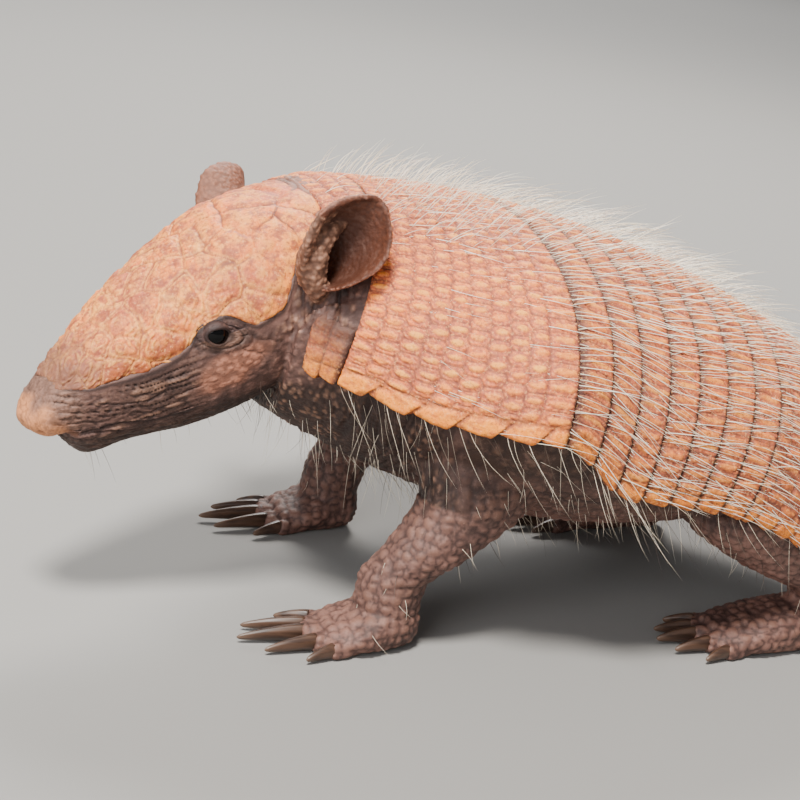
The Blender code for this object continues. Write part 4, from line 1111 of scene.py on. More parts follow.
def armour(name, front, rear, layout, left=-1.0, right=1.0, fine=0.00052, sink=0.0, overlap=0.0, dip=0.0,
           glow=1.0):
    """One plate, from its front edge to its rear. layout turns the shares along and across it into scutes."""
    v_fine = np.linspace(left, right, 500)
    length = float(np.mean(rear(v_fine) - front(v_fine)))
    width = np.linalg.norm(np.diff(arch(rear(v_fine), v_fine), axis=0), axis=1).sum()
    rows, columns = 4 * max(2, round(length / fine / 4)) + 1, 4 * round(width / fine / 4) + 1
    shares = np.linspace(0, 1, rows)
    s_grid, v_grid, run = np.zeros((3, rows, columns))
    for i, t in enumerate(shares):
        s = front(v_fine) * (1 - t) + rear(v_fine) * t - overlap * (1 - t)
        walk = np.concatenate([[0], np.cumsum(np.linalg.norm(np.diff(arch(s, v_fine), axis=0), axis=1))])
        run[i] = np.linspace(0, walk[-1], columns)
        v_grid[i] = np.interp(run[i], walk, v_fine)
        s_grid[i] = np.interp(run[i], walk, s)
    t_grid = np.repeat(shares[:, None], columns, 1)
    base = arch(s_grid, v_grid)
    normal = across_grid(base)
    total = run[:, -1:]
    from_edge = np.minimum(np.where(left <= -1, run, FAR), np.where(right >= 1, total - run, FAR))
    inside_a, inside_b, border, number, count = layout(t_grid, run / total)
    grain = soft_noise(base, 0.0011, 5) * 0.5 + soft_noise(base, 0.0023, 6)
    # Along a side edge of the larger plates the scutes are twice as long and overlap like tiles.
    if length > 0.03 and left <= -1:
        depth = from_edge / TILE_DEPTH
        count = (t_grid * length / TILE_LENGTH + 0.30 * (1 - np.minimum(depth, 1))
                 + (np.arange(columns) > columns / 2) * 0.4)
        row_number = np.floor(count)
        inside = count - row_number
        tile_border = 1.5 * np.minimum(np.minimum(inside, 1 - inside) * 1.9, np.maximum(1 - depth, 0.0))
        tile_number = hashed(row_number.astype(int), np.full_like(row_number, 77).astype(int))
        inside_a, inside_b, border, number = (np.where(depth < 1, *pair) for pair in (
            ((inside - 0.52) * 0.85, inside_a), ((depth - 0.42) * 0.55, inside_b),
            (np.clip(tile_border, 0, 1), np.minimum(border, np.maximum(depth - 1, 0) * 3)),
            (tile_number, number)))
    oval = (np.sqrt((inside_a / OVAL_LENGTH) ** 2 + (inside_b / OVAL_WIDTH) ** 2)
            + 0.28 * soft_noise(base, 0.0018, 8))
    calm = 0.35 if left > 0 or right < 0 else 1.0
    middle = (1 - smooth(0.74, 1.10, oval)) * calm
    moat = bell(oval - 1.26, 0.17) * calm
    # Small flat chips fill the ground between the ovals.
    chip = (1 - smooth(0.03, 0.22, cells(base, 0.0024, 9, 0.85)[1])) * (1 - middle)
    fibre = soft_noise(np.stack([t_grid * length * 0.45, run, 0 * run], -1), 0.0009, 14)
    height = (0.00050 * smooth(0.0, 0.20, border) + 0.00036 * middle - 0.00028 * moat - 0.00020 * chip
              + 0.00016 * grain + 0.00007 * fibre - 0.00066)
    # Imbrication: each plate comes out from under the one before it, and its rear edge stands up.
    along = t_grid * length
    tucked = sink * (1 - smooth(0.0008, 0.0054, along))
    height += -tucked + 0.00055 * smooth(0.35, 0.95, t_grid) * (sink > 0)
    # The neck's side bands sink into the skin at their upper ends.
    from_top = run if left > 0 else total - run if right < 0 else np.full_like(run, FAR)
    buried = BURIED * smooth(0.0, 1.0, 1 - from_top / 0.030)
    low_front = dip * (1 - smooth(0.0, 0.55, t_grid))
    height -= buried + low_front
    height -= rolled(length - along, 0.0009) * 0.8
    height -= rolled(from_edge, 0.0012) * 0.8
    # The scalloped lower edge.
    saw = count - np.floor(count)
    scallop = 0.0026 * saw ** 0.6 * (1 - smooth(0.80, 1.0, saw) ** 2) - 0.0007
    outward = unit(np.gradient(base, axis=1)) * np.where(run < total / 2, -1, 1)[..., None]
    hang = outward * ((1 - smooth(0.0, TILE_DEPTH, from_edge)) * scallop)[..., None]
    outer = base + normal * height[..., None] + hang
    inner = base - normal * (PLATE - 0.0001 + tucked + buried + low_front)[..., None] + hang
    obj, extra = thick_plate(name + "_scutes", outer, inner)
    # Painted shade (shade): the bands and the rump shield are darker where they come out from under the plate
    # before; near_front takes it away further back on the upper part, so some stays on the lower flanks.
    near_front = 0.28 * smooth(0.0050, 0.0095, along) * (1 - smooth(0.45, 0.85, abs(v_grid)))
    paint(obj, extra, middle=middle, moat=moat, chip=chip,
          groove=(1 - smooth(0.02, 0.20, border)) * (1.0 if sink else 0.8),
          margin=1 - smooth(0.004, 0.0085, from_edge), tone=number,
          # rear is a painted shadow: a dark line along each plate's rear edge.
          rear=smooth(length - 0.0019, length - 0.0007, along),
          fibre=0.5 + 0.5 * fibre, shade=(1 - 0.72 * smooth(0.0028, 0.0058, along) - near_front) * (sink > 0),
          buried=1 - smooth(0.014, 0.040, from_top), flank=smooth(0.20, 0.62, abs(v_grid)) * glow)
    armour_rows[name] = dict(outer=outer, base=base, normal=normal, s=s_grid, v=v_grid, run=run)
    return dress(obj, "shell", name)


def field(rows, last, across_count, seed):
    """Bricked rows of scutes, with one row of long scutes at the rear (last is its share of the length)."""
    def layout(t, u):
        at_rear, share, row = t > 1 - last, (t - 1 + last) / last, t / (1 - last) * rows
        a, b, border, number = (np.where(at_rear, y, x) for x, y in zip(
            scutes(row, u * across_count, seed), oblongs(share, u * across_count, seed + 9)))
        return a, b, np.minimum(border, abs(t - 1 + last) / last * 5), number, np.where(at_rear, share, row)
    return layout


def single_row(across_count, seed):
    return lambda t, u: (*oblongs(np.clip((t - 0.12) / 0.88, 0, 1), u * across_count, seed), t * 1.0)


def level(s):
    return lambda v: np.full_like(v, s)


def nape_front(v):
    """The middle neck band reaches forward to the head, and further on the side that the head turns from."""
    reach = np.clip(0.0055 + 0.016 * v, 0.0005, 0.0105) * (1 - smooth(0.30, 0.42, abs(v)))
    return shoulder_front(v) - NECK_BAND - reach + NECK_BAND * 0.7 * smooth(0.34, 0.45, abs(v)) ** 2


def cheek_front(v):
    """The side bands of the neck are widest at their lower end."""
    return shoulder_front(v) - NECK_BAND * (0.16 + 0.84 * smooth(0.63, 0.86, abs(v)))


def neck_rear(v):
    return shoulder_front(v) - GAP


shoulder_front = np.vectorize(shoulder_front)
SHOULDER_ROWS, RUMP_ROWS = 9, 11      # rows of scutes
plates = [armour("shoulder_shield", shoulder_front, level(SHOULDER - GAP),
                 field(SHOULDER_ROWS, 0.165, 46, 100)),
          armour("neck_band", nape_front, neck_rear, field(2, 0.36, 15, 120), -0.44, 0.44, dip=0.0022,
                 glow=0.8),
          armour("neck_band_left", cheek_front, neck_rear, field(1, 0.5, 7, 130), -1.0, -0.64),
          armour("neck_band_right", cheek_front, neck_rear, field(1, 0.5, 7, 140), 0.64, 1.0)]
pitch = BANDS / BAND_COUNT
for i in range(BAND_COUNT):
    first = SHOULDER + i * pitch
    plates.append(armour(f"band_{i + 1}", level(first), level(first + pitch + 0.0006),
                         single_row(54, 150 + i),
                         sink=0.0019, overlap=0.0024, glow=0.6))
plates.append(armour("rump_shield", level(BANDS_END), level(RUMP_END), field(RUMP_ROWS, 0.08, 44, 170),
                     sink=0.0017, overlap=0.0024, fine=0.00066, glow=0.5))
print("plates:", len(plates), "with", sum(len(p.data.polygons) for p in plates), "faces")

# %% [markdown]
# ## The head's shield
# It is one horny cap of large, nearly flat plates. Fine rings run inside each plate, like growth
# rings, and at the back the borders are thin dark cracks.

# %% Head shield
rows, columns = 257, 169      # whole steps of four, as thick_plate needs
x_grid, f_grid = np.meshgrid(np.linspace(SHIELD_REAR, SHIELD_FRONT, rows), np.linspace(1, -1, columns),
                             indexing="ij")
# Its lower edge is ragged, because it follows its plates.
ragged = (0.045 * soft_noise(np.stack([x_grid, np.sign(f_grid) * 0.01], -1), 0.0050, 200)
          * smooth(0.055, 0.066, x_grid))
base = head_point(x_grid, f_grid * (shield_edge(x_grid) + ragged * smooth(0.6, 1.0, abs(f_grid))))
normal = across_grid(base)
over = np.concatenate([np.zeros((rows, 1)),
                       np.cumsum(np.linalg.norm(np.diff(base, axis=1), axis=2), axis=1)], 1)
over = over - over[:, columns // 2][:, None]
from_side = np.minimum(over - over[:, :1], over[:, -1:] - over)
from_rear, from_front = (x_grid - SHIELD_REAR) * 1.05, (SHIELD_FRONT - x_grid) * 1.05
plate_size = 0.0112 + 0.0060 * (1 - smooth(0.012, 0.045, x_grid)) - 0.0040 * smooth(0.050, 0.090, x_grid)
grown = np.stack([np.cumsum(np.gradient(x_grid, axis=0) / plate_size, axis=0) + 3.2,
                  over / plate_size + 40], -1)
warp = np.stack([layered(base, 0.010, 201, 2), layered(base, 0.010, 211, 2)], -1) * 0.13
near, border, number = cells(grown + warp, 1.0, 203, 0.85)
rear_part = 1 - smooth(0.024, 0.050, x_grid + 0.25 * abs(over))
front_part = smooth(0.083, 0.0965, x_grid + 0.003 * soft_noise(base, 0.006, 221))
# At the rear some borders are deep cracks and others have closed. In front they are pale ridges.
open_crack = smooth(-0.55, 0.15, soft_noise(base, 0.012, 213))
crack = bell(border, 0.028 + 0.014 * open_crack) * (0.35 + 0.65 * open_crack)
ridge = bell(border - 0.10, 0.055)
ring_wave = np.sin(near * 25 + 2.8 * layered(base, 0.0040, 205, 2) + number * 6)
rosette = (smooth(-0.5, 0.4, soft_noise(base, 0.011, 215)) * smooth(-0.7, 0.3, soft_noise(base, 0.0032, 216))
           * (1 - 0.75 * rear_part))
chip = 1 - smooth(0.02, 0.20, cells(base, 0.0030, 217, 0.9)[1])
streak = soft_noise(np.stack([x_grid * 0.35, over, 0 * over], -1), 0.0012, 207)
mottle = layered(base, 0.0030, 219, 3)
height = (-0.00036 * crack * (0.55 + 0.45 * rear_part) + 0.00024 * ridge * (1 - rear_part)
          + 0.00080 * smooth(0, 0.42, border) - 0.00052 + 0.00021 * ring_wave * rosette
          - 0.00020 * chip * (1 - rear_part * 0.7) + 0.00006 * streak + 0.00017 * mottle
          + 0.00030 * soft_noise(base, 0.006, 208))
edge_wave = 1 + 0.35 * soft_noise(base, 0.004, 209)
height -= rolled(from_side * edge_wave, 0.0014) * (0.9 - 0.35 * front_part) + rolled(from_rear, 0.0014) * 0.9
height -= rolled(from_front, 0.0010) * 0.45
head_shield, extra = thick_plate("head_cap", base + normal * height[..., None],
                                 base - normal * (PLATE - 0.0003))
paint(head_shield, extra, crack=crack * (0.55 + 0.45 * rear_part), line=ridge * (1 - rear_part),
      ring=(ring_wave * 0.5 + 0.5) * rosette, near=1 - smooth(0.05, 0.55, near),
      warm=(1 - smooth(0.0, 0.016, from_side)) * (1 - smooth(0.052, 0.066, x_grid)),
      chip=chip * (1 - rear_part),
      low=(1 - smooth(0.0, 0.015, from_side)) * smooth(0.050, 0.064, x_grid), front=front_part,
      mottle=0.5 + mottle * 0.30)
dress(head_shield, "shell", "head_shield")

# %% [markdown]
# ## Eyes and claws
# The eyes are glossy balls that sit deep between the lids. Each claw is a blunt hook, flatter than it
# is high, with a fine grain along it.

# %% Eyes and claws
eyes, nails = [], []
tilt, round_ = np.meshgrid(np.linspace(0, pi, 34)[1:-1], np.linspace(0, 2 * pi, 56, endpoint=False),
                           indexing="ij")
ball = np.stack([np.sin(tilt) * np.cos(round_), np.sin(tilt) * np.sin(round_), np.cos(tilt)], -1)
for side, name in ((1, "left"), (-1, "right")):
    centre = from_head(np.array(EYE_AT) * (1, side, 1))
    points_, faces_ = tube(centre + ball * EYE_RADIUS)
    points_[-2], points_[-1] = centre + (0, 0, EYE_RADIUS), centre - (0, 0, EYE_RADIUS)
    eyes.append(dress(mesh_object("eyeball_" + name, points_, faces_[:, ::-1]), "eye", "eye_" + name))

for name, root, aim, length, thick in claws:
    across = unit(np.cross(aim, (0, 0, 1)))
    size, drop = thick * 0.62, thick * 0.50
    rings_ = []
    for t in np.concatenate([np.linspace(-0.10, 0.92, 22), [0.955, 0.98, 0.993]]):
        forward_t = max(t, 0.0)
        here = size * (1 - forward_t) ** 0.62 + 0.00030 * (1 - smooth(0.94, 1, forward_t)) + 0.00008
        centre = root + aim * length * t - np.array([0, 0, 1]) * drop * forward_t ** 1.7
        lean = unit(aim * length - np.array([0, 0, 1]) * drop * 1.7 * forward_t ** 0.7)
        profile = 1 + 0.03 * np.sin(7 * round_leg + 3 * t)
        flat = (here * 0.78 * np.cos(round_leg) * profile)[:, None]
        high = (here * 1.15 * np.sin(round_leg) * (1 - 0.12 * np.sin(round_leg)) * profile)[:, None]
        ring = centre + across * flat + np.cross(across, lean) * high
        ring[:, 2] = np.maximum(ring[:, 2], 0.0004)
        rings_.append(ring)
    nails.append(dress(mesh_object(name.replace("claw", "nail"), *tube(rings_)), "horn", name))
    paint(nails[-1], tip=np.append(np.repeat(np.linspace(0, 1, len(rings_)), len(round_leg)), [0, 1]))
print("claws:", len(nails))

# %% [markdown]
# ## Bristles
# The armadillo is nearly bare, but stiff pale bristles grow from under the rear edge of every band
# and between the scutes. Each one is a thin three-sided rod that tapers to its tip and bends back
# along the body. They are solid meshes, so that they stay when the model is exported.

# %% Make many bristles at once
chance = np.random.default_rng(7)
coat = []               # one row for each lot of bristles, with all that the function below takes


def bristles(name, segments):
    """One piece from the rows of coat. place is where each root lies on the unwrapped skin."""
    root, aim, bend, length, radius, place = (np.concatenate(rows) for rows in zip(*coat))
    # No bristle reaches into the floor.
    lowest = root[:, 2] + np.minimum(0, (aim + bend)[:, 2]) * length
    length *= np.clip((root[:, 2] - 0.0008) / np.maximum(root[:, 2] - lowest, 1e-6), 0.15, 1.0)
    coat.clear()
    count = len(root)
    t = np.linspace(0, 1, segments + 1)
    wave = chance.normal(0, 0.022, (count, 3))
    centre = (root[:, None] + aim[:, None] * (length[:, None] * t)[..., None]
              + (bend[:, None] * (length[:, None] * t ** 2)[..., None])
              + wave[:, None] * (length[:, None] * np.sin(t * 2.6 * pi / 2) * t)[..., None])
    along = unit(np.gradient(centre, axis=1))
    side = unit(np.cross(along, chance.normal(0, 1, (count, 1, 3))))
    other = np.cross(along, side)
    taper = radius[:, None] * (1 - 0.86 * t ** 1.6)
    points = np.stack([centre + (side * cos(a) + other * sin(a)) * taper[..., None]
                       for a in (2 * pi * k / 3 for k in range(3))], 2)        # strand, step, corner
    index = np.arange(count * (segments + 1) * 3).reshape(count, segments + 1, 3)
    turned = np.roll(index, -1, axis=2)
    quads = np.stack([index[:, :-1], turned[:, :-1], turned[:, 1:], index[:, 1:]], -1).reshape(-1, 4)
    faces = np.concatenate([halved(quads), index[:, 0][:, ::-1], index[:, -1]])
    obj = mesh_object(name, points.reshape(-1, 3), faces)
    patch = place[:, None, None] + 0.003 * np.stack(np.broadcast_arrays(
        np.arange(3)[None, None] / 2.0 + 0 * t[None, :, None], t[None, :, None] + 0 * index[:1, :, :]), -1)
    flat = np.broadcast_to(patch, (count, segments + 1, 3, 2)).reshape(-1, 2)
    uv = obj.data.uv_layers.new(name="OFBake")
    uv.data.foreach_set("uv", flat[faces.ravel()].astype(np.float32).ravel())
    paint(obj, share=np.broadcast_to(t[None, :, None], index.shape),
          own=np.repeat(chance.random(count), (segments + 1) * 3))
    return dress(obj, "bristle")


def sample(grid, row, column):
    """The values of a grid at places between its points."""
    i = np.clip(row.astype(int), 0, grid.shape[0] - 2)
    j = np.clip(column.astype(int), 0, grid.shape[1] - 2)
    a, b = row - i, column - j
    if grid.ndim == 3:
        a, b = a[:, None], b[:, None]
    return (grid[i, j] * (1 - a) * (1 - b) + grid[i + 1, j] * a * (1 - b) + grid[i, j + 1] * (1 - a) * b
            + grid[i + 1, j + 1] * a * b)


# %% Bristles of the back
def grow_on(plate_name, shares, spots, length, lift):
    """Bristles on a plate: shares is the place along it and spots the place across it, both from 0 to 1."""
    here = armour_rows[plate_name]
    rows, columns = here["s"].shape
    row, column = shares * (rows - 1), spots * (columns - 1)
    root, normal = sample(here["outer"], row, column), unit(sample(here["normal"], row, column))
    rearward = unit(sample(np.gradient(here["base"], axis=0), row, column))
    over = unit(np.cross(normal, rearward))
    s, v, run = (sample(here[key], row, column) for key in ("s", "v", "run"))
    count = len(row)
    # They stand up near the ridge of the back, and lie flat on the flanks.
    rise = lift * (0.26 + 0.74 * (1 - smooth(0.12, 0.55, abs(v)))) * chance.uniform(0.55, 1.45, count)
    aim = unit(rearward + normal * rise[:, None] + over * chance.normal(0, 0.17, count)[:, None])
    flat = rearward * 0.22 - normal * (0.22 * np.minimum(rise, 1.2) + 0.03)[:, None]
    flat[:, 2] -= 0.10 * smooth(0.4, 0.9, abs(v))
    coat.append((root - normal * 0.0006, aim, flat * chance.uniform(0.6, 1.5, (count, 1)),
                 length * chance.uniform(0.55, 1.25, count), chance.uniform(0.00010, 0.00020, count),
                 np.stack([0.5 + (run - here["run"][0, -1] / 2) / 0.32, (s + 0.05) / 0.36], -1)))


def evenly(count, loose=0.35):
    """Places from 0 to 1 at nearly even steps."""
    return np.clip((np.arange(count) + 0.5 + chance.uniform(-loose, loose, count)) / count, 0.001, 0.999)


grow_on("shoulder_shield", np.full(125, 0.985), evenly(125), 0.0215, 0.95)
for i in range(BAND_COUNT):
    spots = evenly(135)
    grow_on(f"band_{i + 1}", chance.uniform(0.965, 0.99, 135), spots, 0.0225, 1.10)
for k in range(RUMP_ROWS):
    grow_on("rump_shield", np.full(80, (k + 0.94) / RUMP_ROWS * 0.92), evenly(80), 0.0165, 0.40)
# Between the scutes of the shoulder: sparse and long, and on the ridge short and upright.
for k in range(SHOULDER_ROWS):
    grow_on("shoulder_shield", np.full(20, (k + 0.98) / SHOULDER_ROWS * 0.835), evenly(20, 0.5), 0.019, 0.20)
    spots = 0.5 + (evenly(22, 0.6) - 0.5) * 0.42
    shares = np.clip((k + chance.uniform(0.1, 1.0, 22)) / SHOULDER_ROWS * 0.835, 0.03, 0.83)
    grow_on("shoulder_shield", shares, spots, 0.0180, 3.0)
grow_on("neck_band", chance.uniform(0.2, 0.95, 14), evenly(14, 0.5), 0.0110, 1.5)
print("bristles on the back:", sum(len(row[0]) for row in coat))
back_coat = bristles("coat_back", 6)

# %% [markdown]
# Softer hair hangs from the lower edge of the shell, and grows on the cheeks, the throat, the belly
# and the legs.

# %% Hair of the underside and the face
for plate_name, count in (("shoulder_shield", 26), ("rump_shield", 30),
                          *((f"band_{i + 1}", 6) for i in range(BAND_COUNT))):
    for end in (0.004, 0.996):
        here = armour_rows[plate_name]
        rows, columns = here["s"].shape
        shares = evenly(count, 0.5)
        root = sample(here["outer"], shares * (rows - 1), np.full(count, end * (columns - 1)))
        side_out = np.sign(root[:, 1:2]) * np.array([0, 1, 0])
        coat.append((root - side_out * 0.0012,
                     unit(np.array([0.35, 0, -1]) + side_out * 0.18 + chance.normal(0, 0.16, (count, 3))),
                     np.array([0.26, 0, -0.16]) + chance.normal(0, 0.12, (count, 3)),
                     chance.uniform(0.010, 0.024, count), chance.uniform(0.00008, 0.00013, count),
                     np.stack([np.full(count, 0.02 + 0.9 * (end > 0.5)), 0.1 + 0.8 * shares], -1)))

mesh_points, mesh_out = places_of(skin_mesh), directions_of(skin_mesh)
down = np.array([0.0, 0.0, -1.0])
even = np.where(np.arange(len(mesh_points)) < 170000, 1.0, 0.25)       # the finer parts have more points


def grow_on_skin(weight, count, length, outward, drooping, rearward, bend, radius=0.00009, bend_out=0.0):
    """Hair on the skin: weight picks the points it may start from, and the shares say where it aims."""
    weight = weight * np.where(mesh_points[:, 2] > 0.004, 1, 0)
    chosen = chance.choice(len(mesh_points), count, replace=False, p=weight / weight.sum())
    root, out = mesh_points[chosen], mesh_out[chosen]
    aim = out * outward + down * drooping + np.array([rearward, 0, 0])
    turned = np.arctan2(root[:, 1], root[:, 2] - 0.085) / (2 * pi) + 0.5
    coat.append((root - out * 0.0004, unit(aim + chance.normal(0, 0.16, (count, 3))),
                 down * bend + out * bend_out + chance.normal(0, 0.14, (count, 3)),
                 length * chance.uniform(0.5, 1.3, count), radius * chance.uniform(0.8, 1.25, count),
                 np.stack([0.03 + 0.93 * turned, 0.03 + 0.9 * (root[:, 0] + 0.26) / 0.53], -1)))


throat = even * (head_part > 0.5) * (hx < 0.100) * smooth(0.0, 0.006, -0.027 - hz)
cheek = even * (head_part + neck_part > 0.5) * (hx < 0.040) * (hx > -0.050) * smooth(0.0, 0.010, -0.020 - hz)
grow_on_skin(throat, 110, 0.0090, 0.6, 0.7, 0.35, 0.1)
grow_on_skin(cheek, 150, 0.0150, 0.35, 0.9, 0.25, 0.15)
grow_on_skin(even * (belly_part > 0.5) * (marks["groove"] < 0.6), 420, 0.0140, 0.5, 0.35, 0.7, 0.12)
grow_on_skin(even * (leg_part > 0.5) * (world_z > 0.010), 420, 0.0085, 0.45, 0.75, 0.25, 0.1, 0.0001)
grow_on_skin(even * (tail_part > 0.5), 130, 0.0080, 0.30, 0, 1.0, 0, 0.0001, -0.1)
print("hairs below:", sum(len(row[0]) for row in coat))
under_coat = bristles("coat_under", 5)

# %% [markdown]
# ## Materials
# Every colour is mixed from node noise and from the numbers that the meshes carry. The small class
# below lets the node maths read like ordinary sums.

# %% A socket that can be used in sums
class Value:
    """One output of a node tree. Sums and products with it add Math nodes."""

    def __init__(self, tree, socket):
        self.tree, self.socket = tree, socket

    def _math(self, kind, a, b):
        node = self.tree.nodes.new("ShaderNodeMath")
        node.operation = kind
        for socket, value in zip(node.inputs, (a, b)):
            put(self.tree, socket, value)
        return Value(self.tree, node.outputs[0])

    def __add__(self, other): return self._math("ADD", self, other)
    def __radd__(self, other): return self._math("ADD", other, self)
    def __sub__(self, other): return self._math("SUBTRACT", self, other)
    def __rsub__(self, other): return self._math("SUBTRACT", other, self)
    def __mul__(self, other): return self._math("MULTIPLY", self, other)
    def __rmul__(self, other): return self._math("MULTIPLY", other, self)
    def smaller(self, other): return self._math("MINIMUM", self, other)

    def between(self, low, high):
        node = self.tree.nodes.new("ShaderNodeMapRange")
        node.interpolation_type = "SMOOTHSTEP"
        for name, value in (("Value", self), ("From Min", low), ("From Max", high)):
            put(self.tree, node.inputs[name], value)
        return Value(self.tree, node.outputs["Result"])


def put(tree, socket, value):
    """Links a value to a socket, or sets the socket to a plain number or colour."""
    if isinstance(value, Value):
        tree.links.new(value.socket, socket)
    else:
        socket.default_value = value


class Paint:
    """A material under construction."""

    def __init__(self, name, viewport, **settings):
        self.material = bpy.data.materials.new(name)
        self.material.use_nodes = True
        self.material.diffuse_color = (*viewport, 1)
        self.tree = self.material.node_tree
        self.surface = self.tree.nodes["Principled BSDF"]
        self.set_surface(settings)

    def set_surface(self, inputs):
        for key, value in inputs.items():
            put(self.tree, self.surface.inputs[key.replace("_", " ")], value)

    def node(self, kind, output=0, settings=None, **inputs):
        """Any node: its type, its settings first, and then values or links for its inputs."""
        made = self.tree.nodes.new(kind)
        for key, value in (settings or {}).items():
            setattr(made, key, value)
        for key, value in inputs.items():
            put(self.tree, made.inputs[int(key[1:]) if key[0] == "_" else key.replace("_", " ")], value)
        return Value(self.tree, made.outputs[output])

    def stored(self, name):
        return self.node("ShaderNodeAttribute", "Fac", {"attribute_name": name})

    def noise(self, scale, detail=3.0, rough=0.55, stretch=(1, 1, 1)):
        place = self.node("ShaderNodeTexCoord", "Object")
        place = self.node("ShaderNodeMapping", 0, None, Vector=place, Scale=stretch)
        return self.node("ShaderNodeTexNoise", "Fac", None, Vector=place, Scale=scale, Detail=detail,
                         Roughness=rough)

    def mix(self, share, a, b):
        """Colours a and b, where share 1 gives b."""
        a, b = (value if isinstance(value, Value) else (*value, 1) for value in (a, b))
        return self.node("ShaderNodeMix", 2, {"data_type": "RGBA", "blend_type": "MIX"}, _0=share, _6=a, _7=b)

    def layers(self, colour, *rows):
        """Lays one colour after the other over the first. Each row is how much, and which colour."""
        for share, laid in rows:
            colour = self.mix(share, colour, laid)
        return colour

    def bumps(self, strength, scale):
        """A fine roughness of the surface that is too small for the mesh."""
        return self.node("ShaderNodeBump", 0, None, Strength=strength, Distance=0.0004,
                         Height=self.noise(scale, 4.0, 0.65))

    def finish(self, *objects, **inputs):
        self.set_surface(inputs)
        for obj in objects:
            obj.data.materials.clear()
            obj.data.materials.append(self.material)


# %% [markdown]
# The scutes are salmon pink with a yellow-orange middle and mauve grooves. Towards the lower edge they
# turn bright orange.

# %% Horn of the armour
shell = Paint("scutes", (0.68, 0.24, 0.11), IOR=1.5, Specular_IOR_Level=0.28)
flank, tone, middle, moat, groove, margin = (
    shell.stored(k) for k in ("flank", "tone", "middle", "moat", "groove", "margin"))
blotch, patchy, grain = shell.noise(55.0), shell.noise(260.0, 3.0, 0.6), shell.noise(1100.0, 4.0, 0.7)
ochre = shell.mix(tone, (0.98, 0.310, 0.026), (0.99, 0.400, 0.055))
orange = shell.mix(patchy, (0.92, 0.180, 0.006), (0.99, 0.360, 0.016))
colour = shell.layers(
    shell.mix(flank, (0.61, 0.148, 0.056), (0.99, 0.222, 0.046)),
    (blotch.between(0.38, 0.62) * 0.60, (0.50, 0.118, 0.062)),
    (patchy.between(0.45, 0.62) * 0.40, (0.92, 0.300, 0.090)),
    (middle * (0.74 + flank * 0.30) * (0.42 + tone * 0.4) * (0.5 + patchy), ochre),
    (margin * 0.88, orange),
    (shell.stored("fibre").between(0.45, 0.15) * (0.25 + margin * 0.25), (0.46, 0.095, 0.030)),
    (shell.stored("chip") * (0.62 - margin * 0.35), (0.30, 0.095, 0.068)),
    (moat * (0.80 - flank * 0.30), (0.24, 0.070, 0.048)),
    (groove * 0.92, (0.105, 0.042, 0.036)),
    # Painted shadow: a dark line along each plate's rear edge.
    (shell.stored("rear") * 0.90, (0.036, 0.022, 0.022)),
    # Painted shade: the fronts and the lower flanks of the bands and the rump shield.
    (shell.stored("shade") * 0.88, (0.050, 0.026, 0.024)),
    (grain.between(0.54, 0.64) * 0.44, (0.99, 0.48, 0.18)),
    (grain.between(0.47, 0.36) * (0.64 - flank * 0.20), (0.18, 0.052, 0.032)),
    (shell.stored("buried") * 0.95, (0.060, 0.030, 0.023)))
shell.finish(*plates, Base_Color=colour, Roughness=0.50 + groove * 0.2 + blotch * 0.12,
             Normal=shell.bumps(0.60, 1300.0))

cap = Paint("head_shield", (0.70, 0.26, 0.12), IOR=1.5, Specular_IOR_Level=0.28)
blotch, patchy, grain = cap.noise(42.0, 4.0), cap.noise(210.0, 4.0, 0.65), cap.noise(900.0, 4.0, 0.7)
ring = cap.stored("ring")
colour = cap.layers(
    cap.mix(blotch.between(0.42, 0.58), (0.97, 0.235, 0.036), (0.60, 0.135, 0.056)),
    (cap.stored("warm") * 0.55, (0.99, 0.290, 0.022)),
    (cap.stored("mottle").between(0.35, 0.72) * 0.60, (0.99, 0.400, 0.065)),
    (cap.stored("near") * 0.22, (0.99, 0.420, 0.070)),
    (patchy.between(0.52, 0.39) * 0.80, (0.33, 0.082, 0.044)),
    (cap.stored("low") * 0.98 * (0.4 + blotch), (0.34, 0.074, 0.014)),
    # The rings' ridges are painted ochre and their valleys brown: partly the horn's own colour, partly
    # painted highlight and painted shade.
    (ring.between(0.45, 0.90) * 0.50, (0.99, 0.460, 0.100)),
    ((1.0 - ring.between(0.05, 0.35)) * 0.22, (0.36, 0.090, 0.046)),
    (cap.stored("line") * 0.58, (0.99, 0.450, 0.100)),
    (cap.stored("chip") * 0.52, (0.30, 0.078, 0.042)),
    (cap.stored("crack") * 0.92, (0.100, 0.038, 0.030)),
    (grain.between(0.54, 0.66) * 0.42, (0.99, 0.50, 0.20)),
    (grain.between(0.47, 0.35) * 0.60, (0.22, 0.058, 0.034)),
    (cap.stored("front") * 0.82, (0.180, 0.085, 0.058)))
cap.finish(head_shield, Base_Color=colour, Roughness=0.48 + blotch * 0.14, Normal=cap.bumps(0.55, 1100.0))

# %% [markdown]
# The skin is a dull brown with mauve, paler on top of its grains and nearly black in its folds. The
# cheek and the ears are rosy, the tip of the nose is tan, and the feet are brown.

